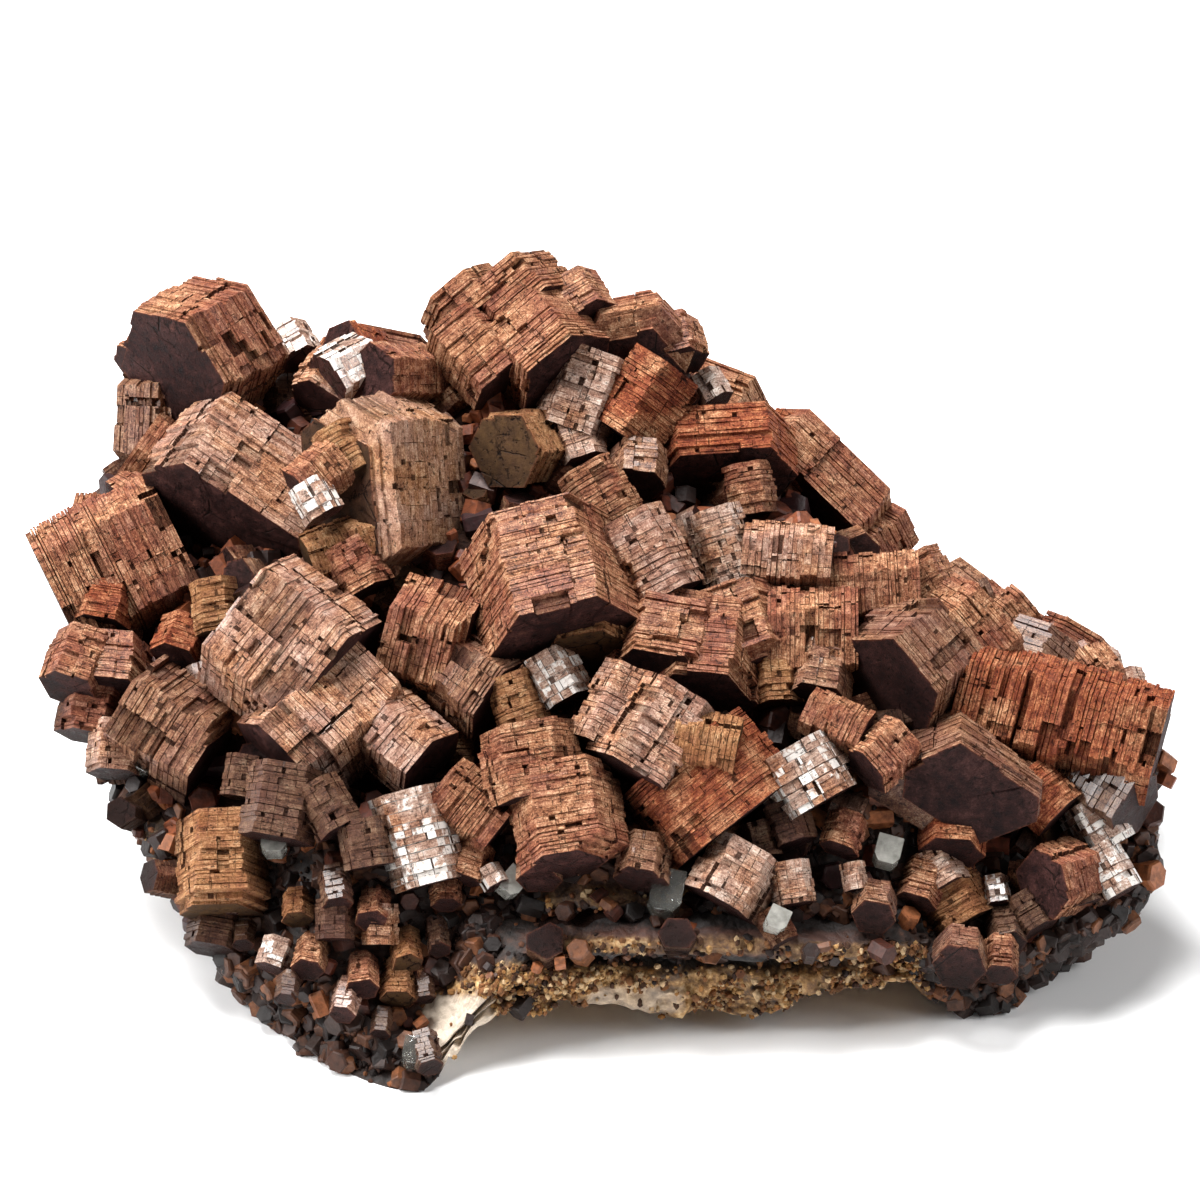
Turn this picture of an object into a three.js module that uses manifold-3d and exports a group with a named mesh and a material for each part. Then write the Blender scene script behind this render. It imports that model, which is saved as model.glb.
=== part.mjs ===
// Vanadinite with anglesite: blocky, plate-built hexagonal crystals grown over a dark rock,
// with a few small clear to grey anglesite crystals between them.
// Millimetres, +Z up. +X is to the right in the photograph and -Y faces its camera.
// The origin is on the flat face the rock rests on.
import * as THREE from 'three';
import { mergeVertices } from 'three/addons/utils/BufferGeometryUtils.js';
import Module from 'manifold-3d';

// The photograph: real size of a pixel at the aim point, and the view it was taken from.
const MM_PER_PIXEL = 0.096;
const PHOTO_MIDDLE = 600;
const VIEW_ELEVATION = 35;
const VIEW_DISTANCE = 600;
const AIM_HEIGHT = 25;

// Gap kept between neighbouring pieces, and rock roughness.
const CLEARANCE = 0.3;
// A body is grown by this to cut its gap: its corners and slopes need more than the gap itself.
const CUT_REACH = 0.4;
const ROCK_COLUMNS = 38;
const BASE_COLUMNS = 20;
const ROCK_ROUGHNESS = 0.55;
const BED_WAVE = 0.4;
// The underside arches over the ground at the front between two toes, with a lump hanging in it:
// x and height of its front edge. Further back, from this line on, the underside is flat.
const ARCH = [
  [-16, 0], [-12, 3.6], [-6, 4.6], [2, 4.4], [5, 2.2], [16, 2], [18.5, 5], [28, 5.4], [32, 1.5], [34, 0],
];
const ARCH_BACK = -24;
const ARCH_RUN = 9;

// Heights of the surface through the crystals' middles: x, y, height, and how far the rock lies
// below it there.
const RELIEF = [
  [-34, -34, 7, 3], [-17, -42, 4, 2.5], [-6, -37, 13, 3], [8, -36, 15, 3], [24, -35, 14, 3],
  [36, -32, 9, 3], [50, -25, 11, 4], [-45, -15, 19, 6], [-25, -24, 23, 6], [0, -22, 27, 7],
  [25, -19, 27, 7], [45, -16, 23, 7], [-52, -2, 27, 7], [-30, -2, 34, 8], [0, 0, 37, 8],
  [22, 2, 37.5, 8], [34, -7, 27.5, 7], [45, -11, 24, 6], [55, -15, 20, 6], [-46, 12, 33, 7],
  [-37, 20, 44, 8], [-22, 17, 43, 8], [-8, 19, 47, 9], [5, 17, 44, 8], [16, 11, 36, 8],
  [26, 8, 26, 8], [-52, 8, 23, 6], [-40, 27, 33, 7], [-20, 28, 33, 7], [0, 28, 33, 7],
  [17, 21, 27, 6], [30, 9, 19, 6], [40, 2, 15, 5], [50, -3, 13, 5], [-34, 32, 17, 5],
  [-14, 34, 16, 5], [6, 34, 14, 5], [24, 24, 12, 5], [36, 14, 10, 4],
];
const RELIEF_BLEND = 30;
// The crystals that stand against the background in the photograph go no further back.
const CREST = 20;
// Top of the intergrown base that the crystals stand on, below the relief.
const BASE_DEPTH = 3.5;
const BASE_RINGS = [0.95, 0.7, 0.4];
// Towards the front, from this line on, the base thins out and leaves the rock bare.
const BASE_FRONT = -16;
const BASE_RUN = 8;
const BASE_FADE = 4;
const BASE_ROOT = 1;

// Plan outline of the rock at its foot and at the edge of its top, in the same order.
const FOOT = [
  [38, -11], [34, 2], [21, 11], [1, 17], [-18, 16], [-30, 6], [-34, -9], [-32, -25],
  [-27, -37], [-17.5, -43.5], [-8, -37], [8, -34.5], [24, -33.5], [34, -31], [39, -24.5], [40, -17],
];
const SHOULDER = [
  [50, -12], [43, 1], [27, 17], [2, 27], [-22, 28], [-41, 22], [-48, 4], [-44, -17],
  [-33, -31], [-18, -39], [-6, -36.5], [8, -35.5], [24, -35], [36, -32], [47, -28], [52, -21],
];
const ROCK_MIDDLE = [0, -7];
const FOOT_RINGS = [0.4, 0.75, 1];
const TOP_RINGS = [1, 0.84, 0.62, 0.35];
// Beds of the rock up its side: share of the height, and how far the bed stands out.
const BEDS = [
  [0.1, 0.8], [0.2, 0.9], [0.25, -0.8], [0.42, 0.5], [0.47, -1.0], [0.66, 0.6], [0.84, 0.4],
];

// Crystals that the photograph shows. Columns: photoX, photoY (pixel at the middle of the end
// face turned to the viewer), heading (degrees clockwise from right, the way that end points
// in the picture), facing (0 edge-on, 90 full-face), across (mm over corners), long (mm along
// the axis), spin (degrees about the axis), squash (one pair of faces nearer than the others)
// and lift (mm above the relief).
const CRYSTALS = [
  // back left
  [173, 376, 145, 40, 15.2, 9.0, -6, 1, 0],
  [180, 421, 3, 24, 10.6, 5.6, 0, 0.68, 0], [57, 600, 154, 5, 15.4, 13.0, 0, 0.82, 0],
  [224, 524, 124, 35, 20.0, 10.0, 0, 0.6, 0], [346, 490, 176, 45, 18.6, 11.5, 0, 0.7, 0],
  [362, 490, 50, 10, 7.0, 5.0, 0, 1, 0], [118, 505, 150, 20, 5.5, 5.0, 0, 1, 0.5],
  [308, 562, 160, 10, 6.0, 7.0, 0, 1, 0], [318, 402, 124, 30, 7.0, 5.0, 0, 1, -1],
  [333, 684, 38, 15, 16.0, 10.8, 0, 0.85, 0], [280, 765, 138, 18, 12.5, 12.5, 10, 1, 0],
  [430, 765, 40, 20, 8.5, 7.0, 0, 1, 0], [215, 758, 32, 12, 12.0, 9.5, 0, 1, 0],
  [68, 690, 110, 35, 6.6, 6.0, 0, 1, 0], [112, 695, 95, 35, 7.0, 5.5, 0, 1, 0],
  [327, 380, 150, 30, 6.5, 5.0, 0, 1, 0],
  [88, 737, 100, 15, 7.0, 6.0, 0, 1, -1], [115, 775, 95, 15, 6.0, 5.0, 0, 1, -1],
  // crown
  [340, 342, 200, 45, 5.2, 5.0, 0, 1, 0], [372, 376, 178, 50, 6.8, 9.6, 0, 1, 0],
  [505, 450, 170, 60, 8.5, 5.0, 20, 1, 0], [566, 374, 50, 30, 11.5, 7.0, 0, 1, 0],
  [637, 361, 80, 60, 12.0, 4.6, 0, 1, 0], [680, 362, 75, 30, 6.2, 4.4, 0, 1, 0],
  [480, 322, 50, 15, 9.0, 4.0, 0, 1, -1], [468, 348, 55, 20, 6.0, 4.0, 0, 1, -2],
  [534, 318, 50, 18, 11.0, 5.0, 0, 1, 0], [590, 320, 60, 30, 6.4, 4.6, 0, 1, -2],
  [505, 385, 50, 20, 8.0, 8.0, 0, 1, 0], [592, 450, 80, 20, 6.0, 6.0, 0, 1, -3],
  [620, 437, 125, 3, 9.2, 8.2, 30, 1, 0], [570, 432, 110, 5, 8.5, 8.0, 0, 1, 0],
  [718, 402, 60, 20, 3.8, 3.2, 0, 1, 0], [799, 502, 134, 30, 16.2, 6.0, 0, 0.6, 0],
  [725, 478, 86, 35, 15.0, 5.4, 0, 0.75, 0], [637, 485, 95, 35, 6.0, 4.0, 0, 1, 0],
  // middle and right
  [738, 592, 72, 5, 6.0, 8.2, 0, 1, 0], [832, 562, 5, 3, 7.0, 8.5, 0, 1, 0],
  [920, 590, -3, 2, 8.1, 9.3, 0, 1, 0], [858, 640, 0, 2, 10.5, 8.5, 0, 1, 0],
  [668, 598, 62, 8, 8.0, 8.5, 0, 1, 0], [618, 525, 60, 5, 6.5, 6.5, 0, 1, 0],
  [566, 643, 75, 32, 16.0, 12.0, -2, 1, 0], [470, 652, 17, 12, 12.0, 7.5, 12, 1, 0],
  [500, 700, 35, 20, 9.5, 5.5, 0, 1, 0],
  [568, 702, 60, 10, 6.0, 5.0, 0, 1, 0],
  [662, 682, 103, 35, 11.5, 8.0, 5, 1, 0], [703, 700, 95, 35, 11.0, 9.0, 0, 1, 0],
  [755, 672, 70, 25, 10.0, 8.0, 0, 1, 0], [815, 700, 100, 30, 7.0, 5.0, 0, 1, 0],
  [883, 692, 140, 45, 13.0, 9.0, 0, 1, 0], [950, 652, 140, 10, 11.5, 5.4, 0, 1, 0],
  [1000, 627, 140, 5, 5.5, 3.6, 0, 1, 0], [1060, 664, 120, 5, 7.6, 4.0, 0, 1, 0],
  [1105, 688, 80, 20, 4.8, 3.6, 0, 1, -1], [1134, 708, 70, 20, 4.4, 3.6, 0, 1, -1],
  [938, 602, 60, 10, 6.0, 5.0, 0, 1, 0],
  [1160, 748, 15, 8, 11.8, 19.5, -2, 0.9, 0], [955, 800, 100, 65, 12.4, 8.0, 95, 1.55, 0],
  [1060, 815, 45, 10, 6.0, 5.0, 0, 1, 0], [1135, 808, 30, 30, 8.0, 6.0, 0, 1, 0],
  [1110, 848, 60, 5, 6.0, 5.0, 0, 1, 0], [1043, 884, 165, 45, 7.4, 4.6, 0, 1, 0],
  [1120, 895, 60, 10, 5.0, 5.0, 0, 1, 0], [950, 855, 95, 35, 7.0, 5.0, 0, 1, 0],
  // front
  [632, 778, 122, 12, 11.0, 9.0, 0, 1, 0], [600, 750, 118, 10, 7.5, 8.0, 0, 1, 0],
  [735, 750, 10, 5, 7.5, 6.0, 0, 1, 0], [735, 825, 52, 5, 15.0, 8.5, 0, 0.8, 0],
  [575, 865, 80, 20, 11.0, 9.0, 0, 1, 0], [540, 800, 80, 10, 10.0, 7.0, 0, 1, 0],
  [500, 832, 38, 5, 7.5, 7.0, 0, 1, 0], [430, 885, 75, 5, 7.5, 9.0, 0, 1, 0],
  [370, 867, 80, 5, 5.0, 4.5, 0, 1, 0],
  [275, 840, 100, 10, 8.0, 7.0, 0, 1, 0],
  [225, 912, 88, 20, 9.5, 9.0, 0, 1, 0],
  [720, 905, 120, 10, 8.0, 6.0, 0, 1, 0], [820, 805, 60, 5, 9.0, 6.0, 0, 1, 0],
  [865, 770, 140, 20, 6.0, 5.0, 0, 1, 0],
];

// Small dark crystals that grow on the bare rock, in the same columns.
const SMALL_CRYSTALS = [
  // right
  [965, 925, 60, 10, 7.0, 5.0, 0, 1, -2], [958, 968, 100, 60, 5.0, 4.0, 0, 1, -1],
  [873, 917, 100, 60, 4.0, 4.0, 0, 1, -1], [1010, 940, 80, 50, 4.2, 4.0, 0, 1, -1],
  [925, 900, 110, 30, 4.4, 4.0, 10, 1, -1], [1000, 975, 95, 40, 3.6, 4.0, 0, 1, -1],
  // left toe
  [212, 950, 100, 20, 6.0, 5.0, 0, 1, -2], [243, 945, 95, 40, 4.2, 4.0, 15, 1, -1],
  [262, 985, 110, 35, 4.4, 4.0, 0, 1, -1], [298, 915, 90, 45, 4.6, 4.0, 10, 1, -1],
  [338, 905, 80, 35, 4.4, 4.0, 0, 1, -1], [372, 930, 95, 50, 4.6, 4.0, 20, 1, -1],
  [318, 955, 100, 45, 4.6, 4.0, 0, 1, -1], [362, 985, 85, 60, 4.0, 4.0, 5, 1, -1],
  [306, 1000, 100, 40, 4.4, 4.0, 0, 1, -1], [408, 968, 80, 45, 4.0, 4.0, 10, 1, -1],
  [396, 1015, 90, 55, 3.8, 4.0, 0, 1, -1], [350, 1030, 105, 40, 4.2, 4.0, 15, 1, -1],
  [388, 1055, 95, 40, 3.8, 4.0, 0, 1, -1], [428, 1045, 75, 40, 3.4, 4.0, 0, 1, -1],
  [430, 925, 90, 50, 4.0, 4.0, 0, 1, -1], [468, 960, 80, 45, 3.6, 4.0, 12, 1, -1],
];

// Crystals of the sides and back, which the photograph hides. Columns: x, y, azimuth and rise
// (degrees, the way the outer end looks), across, long, spin.
const HIDDEN_CRYSTALS = [
  [-39, 22, 130, 15, 10, 8, 10], [-33, 27, 115, 20, 12, 8, 0], [-22, 24, 80, 40, 11, 8, 20],
  [-25, 31, 100, 0, 10, 7, 5], [-11, 27, 95, 25, 13, 9, 12], [1, 25, 75, 40, 10, 8, 0],
  [-1, 31, 85, 0, 10, 7, 25], [11, 23, 65, 10, 11, 8, 8], [18, 15, 60, 25, 9, 7, 0],
  [21, 20, 50, 5, 10, 7, 15], [26, 11, 50, 10, 9, 7, 5], [34, 7, 35, 10, 9, 7, 0],
  [37, -1, 20, 35, 8, 6, 20], [45, -2, 20, 10, 8, 6, 10], [-48, 7, 175, 10, 9, 7, 0],
  [-42, 12, 160, 30, 9, 6, 30], [11, 29, 75, -10, 9, 6, 10],
  [-36, 30, 120, -5, 9, 6, 20],
];

// Anglesite: photoX, photoY, long, broad, thick (mm), turn (degrees).
const ANGLESITE = [
  [274, 855, 2.6, 2.4, 2.2, 0], [662, 914, 4.2, 3.0, 2.4, 12], [136, 772, 5.0, 3.4, 2.4, 30],
  [503, 893, 2.6, 2.2, 2.0, 40], [884, 866, 2.8, 2.4, 2.0, 15], [772, 931, 2.2, 2.0, 2.0, 25],
  [1096, 838, 3.4, 2.6, 2.4, -30], [412, 1066, 2.6, 2.2, 2.0, 10],
];

const FINISHES = {
  rock: { color: 0x2a201b, roughness: 0.9 },
  vanadinite: { color: 0x8a5b45, roughness: 0.55 },
  anglesite: { color: 0xc9cdcb, roughness: 0.3 },
};
// Counters that keep the unevenness of one crystal or ring apart from that of the next.
const CRYSTAL_SEED = 7;
const HIDDEN_SEED = 900;
const SEEDS = { bedOut: 11, bedWave: 40, top: 70, baseLow: 90, baseHigh: 95 };

const radians = THREE.MathUtils.degToRad;
const tilt = radians(VIEW_ELEVATION);
const RIGHT = new THREE.Vector3(1, 0, 0);
const PICTURE_UP = new THREE.Vector3(0, Math.sin(tilt), Math.cos(tilt));
const TO_VIEWER = new THREE.Vector3(0, -Math.cos(tilt), Math.sin(tilt));
const AIM = new THREE.Vector3(0, 0, AIM_HEIGHT);

// A repeatable number between -1 and 1 for a pair of counters.
function jitter(a, b) {
  const raw = Math.sin(a * 12.9898 + b * 78.233) * 43758.5453;
  return 2 * (raw - Math.floor(raw)) - 1;
}

// Distance-weighted blend of the relief's heights and of the rock's depth below them.
function relief(x, y) {
  let weightSum = 0;
  let height = 0;
  let depth = 0;
  for (const [px, py, pz, pd] of RELIEF) {
    const square = (x - px) ** 2 + (y - py) ** 2 + RELIEF_BLEND;
    const weight = 1 / square ** 2;
    weightSum += weight;
    height += weight * pz;
    depth += weight * pd;
  }
  return { height: height / weightSum, depth: depth / weightSum };
}

// Point at a share of the way from the camera through a pixel; 1 is level with the aim point.
function alongRay(photoX, photoY, share) {
  const eye = AIM.clone().addScaledVector(TO_VIEWER, VIEW_DISTANCE);
  const target = AIM.clone()
    .addScaledVector(RIGHT, (photoX - PHOTO_MIDDLE) * MM_PER_PIXEL)
    .addScaledVector(PICTURE_UP, (PHOTO_MIDDLE - photoY) * MM_PER_PIXEL);
  return eye.lerp(target, share);
}

// First point of the ray whose offset point lies on the relief, or the one that comes nearest.
function landOnRelief(photoX, photoY, offset, lift) {
  const NEAR = 0.9;
  const FAR = 1.1;
  const STEPS = 400;
  let best = null;
  let bestGap = Infinity;
  for (let i = 0; i <= STEPS; i += 1) {
    const point = alongRay(photoX, photoY, NEAR + ((FAR - NEAR) * i) / STEPS).add(offset);
    if (point.y > CREST) break;
    const gap = point.z - relief(point.x, point.y).height - lift;
    if (gap < bestGap) {
      bestGap = gap;
      best = point;
    }
    if (gap <= 0) break;
  }
  return best;
}

// Corner points of a six-sided section from its six face distances, one face each 60 degrees.
function sectionCorners(distances, spin) {
  const corners = [];
  for (let i = 0; i < 6; i += 1) {
    const a = radians(spin + 30 + 60 * i);
    const b = a + Math.PI / 3;
    const da = distances[i];
    const db = distances[(i + 1) % 6];
    const det = Math.sin(b - a);
    corners.push([
      (da * Math.sin(b) - db * Math.sin(a)) / det,
      (db * Math.cos(a) - da * Math.cos(b)) / det,
    ]);
  }
  return corners;
}

// A crystal as a stack of plates, each with its own six face distances.
function stackedPrism({ middle, axis, side, across, long, spin, squash, seed }) {
  const PLATE = 3.4;
  const SLIM = 14;
  const BULGE = 0.1;
  const UNEVEN = 0.035;
  const third = new THREE.Vector3().crossVectors(axis, side);
  const plates = across < SLIM ? 1 : Math.min(3, Math.round(long / PLATE));
  const apothem = (across / 2) * Math.cos(radians(30));
  const rings = [];
  for (let k = 0; k < plates; k += 1) {
    const place = plates === 1 ? 0 : (2 * (k + 0.5)) / plates - 1;
    const distances = [0, 1, 2, 3, 4, 5].map((i) => {
      const pair = i % 3 === 1 ? squash : 1;
      return apothem * pair * (1 - BULGE * place * place + UNEVEN * jitter(seed + i, k + 1));
    });
    const corners = sectionCorners(distances, spin);
    for (const t of [k / plates, (k + 1) / plates]) {
      rings.push(corners.map(([u, v]) => middle.clone()
        .addScaledVector(side, u)
        .addScaledVector(third, v)
        .addScaledVector(axis, (t - 0.5) * long)));
    }
  }
  return closedStack(rings);
}

// Closed triangle list from rings of equal length, capped at both ends.
function closedStack(rings) {
  const count = rings[0].length;
  const points = rings.flat();
  const triangles = [];
  for (let r = 0; r + 1 < rings.length; r += 1) {
    for (let i = 0; i < count; i += 1) {
      const j = (i + 1) % count;
      const [a, b, c, d] = [r * count + i, r * count + j, (r + 1) * count + j, (r + 1) * count + i];
      triangles.push([a, b, c], [a, c, d]);
    }
  }
  const last = (rings.length - 1) * count;
  for (let i = 1; i + 1 < count; i += 1) {
    triangles.push([0, i + 1, i], [last, last + i, last + i + 1]);
  }
  return { points, triangles };
}

// The axis and the first side direction of a crystal in the photograph.
function photoFrame(heading, facing) {
  const h = radians(heading);
  const f = radians(facing);
  const axis = new THREE.Vector3()
    .addScaledVector(RIGHT, Math.cos(f) * Math.cos(h))
    .addScaledVector(PICTURE_UP, -Math.cos(f) * Math.sin(h))
    .addScaledVector(TO_VIEWER, Math.sin(f));
  const side = new THREE.Vector3()
    .addScaledVector(RIGHT, Math.sin(h))
    .addScaledVector(PICTURE_UP, Math.cos(h));
  return { axis, side };
}

function photoCrystal(row, index, grow = 0) {
  const [photoX, photoY, heading, facing, across, long, spin, squash, lift] = row;
  const { axis, side } = photoFrame(heading, facing);
  const offset = axis.clone().multiplyScalar(-long / 2);
  const middle = landOnRelief(photoX, photoY, offset, lift);
  return stackedPrism({
    middle, axis, side, across: across + 2 * grow, long: long + 2 * grow, spin, squash,
    seed: index * CRYSTAL_SEED,
  });
}

function hiddenCrystal(row, index) {
  const [x, y, azimuth, rise, across, long, spin] = row;
  const a = radians(azimuth);
  const r = radians(rise);
  const axis = new THREE.Vector3(Math.cos(r) * Math.cos(a), Math.cos(r) * Math.sin(a), Math.sin(r));
  const side = new THREE.Vector3(-Math.sin(a), Math.cos(a), 0);
  const middle = new THREE.Vector3(x, y, relief(x, y).height);
  const seed = index * CRYSTAL_SEED + HIDDEN_SEED;
  return stackedPrism({ middle, axis, side, across, long, spin, squash: 1, seed });
}

// A blocky crystal with a roof-like end.
function anglesiteCrystal([photoX, photoY, long, broad, thick, turn], grow) {
  const ROOF_WIDTH = 0.55;
  const ROOF_DEPTH = 0.3;
  const FACING = 25;
  const SUNK = -1;
  const { axis, side } = photoFrame(turn + 90, FACING);
  const third = new THREE.Vector3().crossVectors(axis, side);
  const middle = landOnRelief(photoX, photoY, axis.clone().multiplyScalar(-long / 2), SUNK);
  const w = broad / 2 + grow;
  const t = thick / 2 + grow;
  const half = long / 2 + grow;
  const corners = [[w, -t], [w, t], [-w, t], [-w, -t]];
  const ring = (place, share) => corners.map(([u, v]) => middle.clone()
    .addScaledVector(side, u * share)
    .addScaledVector(third, v)
    .addScaledVector(axis, place));
  return closedStack([ring(-half, 1), ring(half - broad * ROOF_DEPTH, 1), ring(half, ROOF_WIDTH)]);
}

// Even samples of a closed smooth curve through plan points.
function outline(points, count) {
  const curve = new THREE.CatmullRomCurve3(
    points.map(([x, y]) => new THREE.Vector3(x, y, 0)), true, 'centripetal');
  return Array.from({ length: count }, (_, i) => curve.getPoint(i / count));
}

function smooth(t) {
  const c = THREE.MathUtils.clamp(t, 0, 1);
  return c * c * (3 - 2 * c);
}

// Height of the rock's underside: flat, but for the arch between the two front toes.
function underside(x, y) {
  const next = ARCH.findIndex(([ax]) => ax > x);
  if (next < 1) return 0;
  const [[x0, z0], [x1, z1]] = [ARCH[next - 1], ARCH[next]];
  return THREE.MathUtils.mapLinear(x, x0, x1, z0, z1) * smooth((ARCH_BACK - y) / ARCH_RUN);
}

// The rock, grown outward by a distance when it is used to cut the crystals clear of it.
function rockBody(grow) {
  const foot = outline(FOOT, ROCK_COLUMNS);
  const shoulder = outline(SHOULDER, ROCK_COLUMNS);
  const middle = new THREE.Vector3(ROCK_MIDDLE[0], ROCK_MIDDLE[1], 0);
  const spread = (point, extra) => {
    const out = point.clone().sub(middle);
    return out.setLength(out.length() + extra).add(middle);
  };
  const rings = [];
  for (const share of FOOT_RINGS) {
    rings.push(foot.map((p) => {
      const q = middle.clone().lerp(spread(p, grow), share);
      return q.setZ(underside(q.x, q.y) - grow);
    }));
  }
  const topEdge = shoulder.map((p) => {
    const { height, depth } = relief(p.x, p.y);
    return height - depth;
  });
  BEDS.forEach(([share, out], bed) => {
    rings.push(foot.map((p, i) => {
      const low = underside(p.x, p.y);
      const rough = ROCK_ROUGHNESS * jitter(i, bed + SEEDS.bedOut);
      const q = spread(p.clone().lerp(shoulder[i], Math.sqrt(share)), out + rough + grow);
      return q.setZ(low + (topEdge[i] - low) * share + BED_WAVE * jitter(i, bed + SEEDS.bedWave));
    }));
  });
  TOP_RINGS.forEach((share, k) => {
    rings.push(shoulder.map((p, i) => {
      const q = middle.clone().lerp(spread(p, grow), share);
      const { height, depth } = relief(q.x, q.y);
      return q.setZ(height - depth + ROCK_ROUGHNESS * jitter(i, k + SEEDS.top) + grow);
    }));
  });
  return closedFan(rings, middle.clone().setZ(-grow), () => {
    const { height, depth } = relief(middle.x, middle.y);
    return middle.clone().setZ(height - depth + grow);
  });
}

// The intergrown base, from inside the rock's top up to a little below the relief.
function crystalBase() {
  const shoulder = outline(SHOULDER, BASE_COLUMNS);
  const middle = new THREE.Vector3(ROCK_MIDDLE[0], ROCK_MIDDLE[1], 0);
  const ring = (share, k, raise) => shoulder.map((p, i) => {
    const q = middle.clone().lerp(p, share);
    const { height, depth } = relief(q.x, q.y);
    const drop = BASE_DEPTH + BASE_FADE * smooth((BASE_FRONT - q.y) / BASE_RUN);
    return q.setZ(height - (raise ? Math.min(drop, depth) : depth + BASE_ROOT)
      + ROCK_ROUGHNESS * jitter(i, k));
  });
  const low = [...BASE_RINGS].reverse().map((share, k) => ring(share, k + SEEDS.baseLow, false));
  const high = BASE_RINGS.map((share, k) => ring(share, k + SEEDS.baseHigh, true));
  const { height, depth } = relief(middle.x, middle.y);
  return closedFan([...low, ...high], middle.clone().setZ(height - depth - BASE_ROOT),
    () => middle.clone().setZ(height - BASE_DEPTH));
}

// Rings closed by a fan to a bottom and a top point.
function closedFan(rings, bottom, top) {
  const { points, triangles } = closedStack(rings);
  const count = rings[0].length;
  const sides = triangles.slice(0, 2 * count * (rings.length - 1));
  const low = points.push(bottom) - 1;
  const high = points.push(top()) - 1;
  const last = (rings.length - 1) * count;
  for (let i = 0; i < count; i += 1) {
    const j = (i + 1) % count;
    sides.push([low, j, i], [high, last + i, last + j]);
  }
  return { points, triangles: sides };
}

const wasm = await Module();
wasm.setup();

function solid({ points, triangles }) {
  return new wasm.Manifold(new wasm.Mesh({
    numProp: 3,
    vertProperties: Float32Array.from(points.flatMap((p) => [p.x, p.y, p.z])),
    triVerts: Uint32Array.from(triangles.flat()),
  }));
}

function joined(bodies) {
  return bodies.map(solid).reduce((sum, body) => sum.add(body));
}

// Joining and cutting can leave loose chips and closed pockets: only the mass is kept, unhollowed.
function largest(manifold) {
  return manifold.decompose().sort((a, b) => b.volume() - a.volume())[0];
}

function mesh(name, manifold, finish) {
  const WELD = 1e-4;
  const { vertProperties, triVerts } = manifold.getMesh();
  const geometry = new THREE.BufferGeometry();
  geometry.setAttribute('position', new THREE.BufferAttribute(vertProperties, 3));
  geometry.setIndex(new THREE.BufferAttribute(triVerts, 1));
  const material = new THREE.MeshStandardMaterial({ ...finish, metalness: 0 });
  const result = new THREE.Mesh(mergeVertices(geometry, WELD), material);
  result.name = name;
  return result;
}

const anglesiteBodies = ANGLESITE.map((row) => anglesiteCrystal(row, 0));
const anglesiteRoom = joined(ANGLESITE.map((row) => anglesiteCrystal(row, CLEARANCE)));
const crystalBodies = [
  crystalBase(),
  ...CRYSTALS.map((row, i) => photoCrystal(row, i)),
  ...HIDDEN_CRYSTALS.map(hiddenCrystal),
];
const onRock = (grow) => SMALL_CRYSTALS.map((row, i) => photoCrystal(row, i, grow));
const vanadinite = largest(joined(crystalBodies)
  .subtract(joined([rockBody(0), rockBody(CUT_REACH), ...onRock(CUT_REACH)]))
  .subtract(anglesiteRoom));
const rock = largest(joined([rockBody(0), ...onRock(0)]).subtract(anglesiteRoom));

const specimen = new THREE.Group();
specimen.name = 'vanadinite_with_anglesite';
specimen.add(mesh('matrix', rock, FINISHES.rock));
specimen.add(mesh('vanadinite_crystals', vanadinite, FINISHES.vanadinite));
anglesiteBodies.forEach((body, i) => {
  specimen.add(mesh(`anglesite_${i + 1}`, solid(body), FINISHES.anglesite));
});

export default specimen;
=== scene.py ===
"""Vanadinite with anglesite: brown plated crystals on a dark rock, dressed for a soft studio light."""
import math

import bpy
import numpy as np
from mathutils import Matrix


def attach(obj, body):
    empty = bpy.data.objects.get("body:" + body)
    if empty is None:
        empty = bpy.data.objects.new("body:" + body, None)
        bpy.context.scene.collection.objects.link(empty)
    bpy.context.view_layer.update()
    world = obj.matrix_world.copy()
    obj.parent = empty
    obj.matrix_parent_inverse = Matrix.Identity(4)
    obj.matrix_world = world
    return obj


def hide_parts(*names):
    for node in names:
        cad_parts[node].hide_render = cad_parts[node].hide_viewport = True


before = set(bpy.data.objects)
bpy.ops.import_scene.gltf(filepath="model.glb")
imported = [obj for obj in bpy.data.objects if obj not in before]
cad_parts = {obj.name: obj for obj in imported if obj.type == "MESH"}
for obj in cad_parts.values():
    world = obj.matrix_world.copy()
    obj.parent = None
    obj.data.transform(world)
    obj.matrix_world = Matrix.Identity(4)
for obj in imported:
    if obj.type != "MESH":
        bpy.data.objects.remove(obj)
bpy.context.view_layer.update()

# Sizes, in millimetres, and the photograph's view.
MM = 0.001
MM_PER_PIXEL = 0.096
PHOTO_MIDDLE = 600
VIEW_ELEVATION = 35
VIEW_DISTANCE = 600
AIM_HEIGHT = 25
SENSOR = 36
# Behind this line nothing on the relief faces the viewer, so no ray lands there.
CREST = 20
RAY_REACH = (0.9, 1.1)
RAY_STEPS = 401

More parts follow.
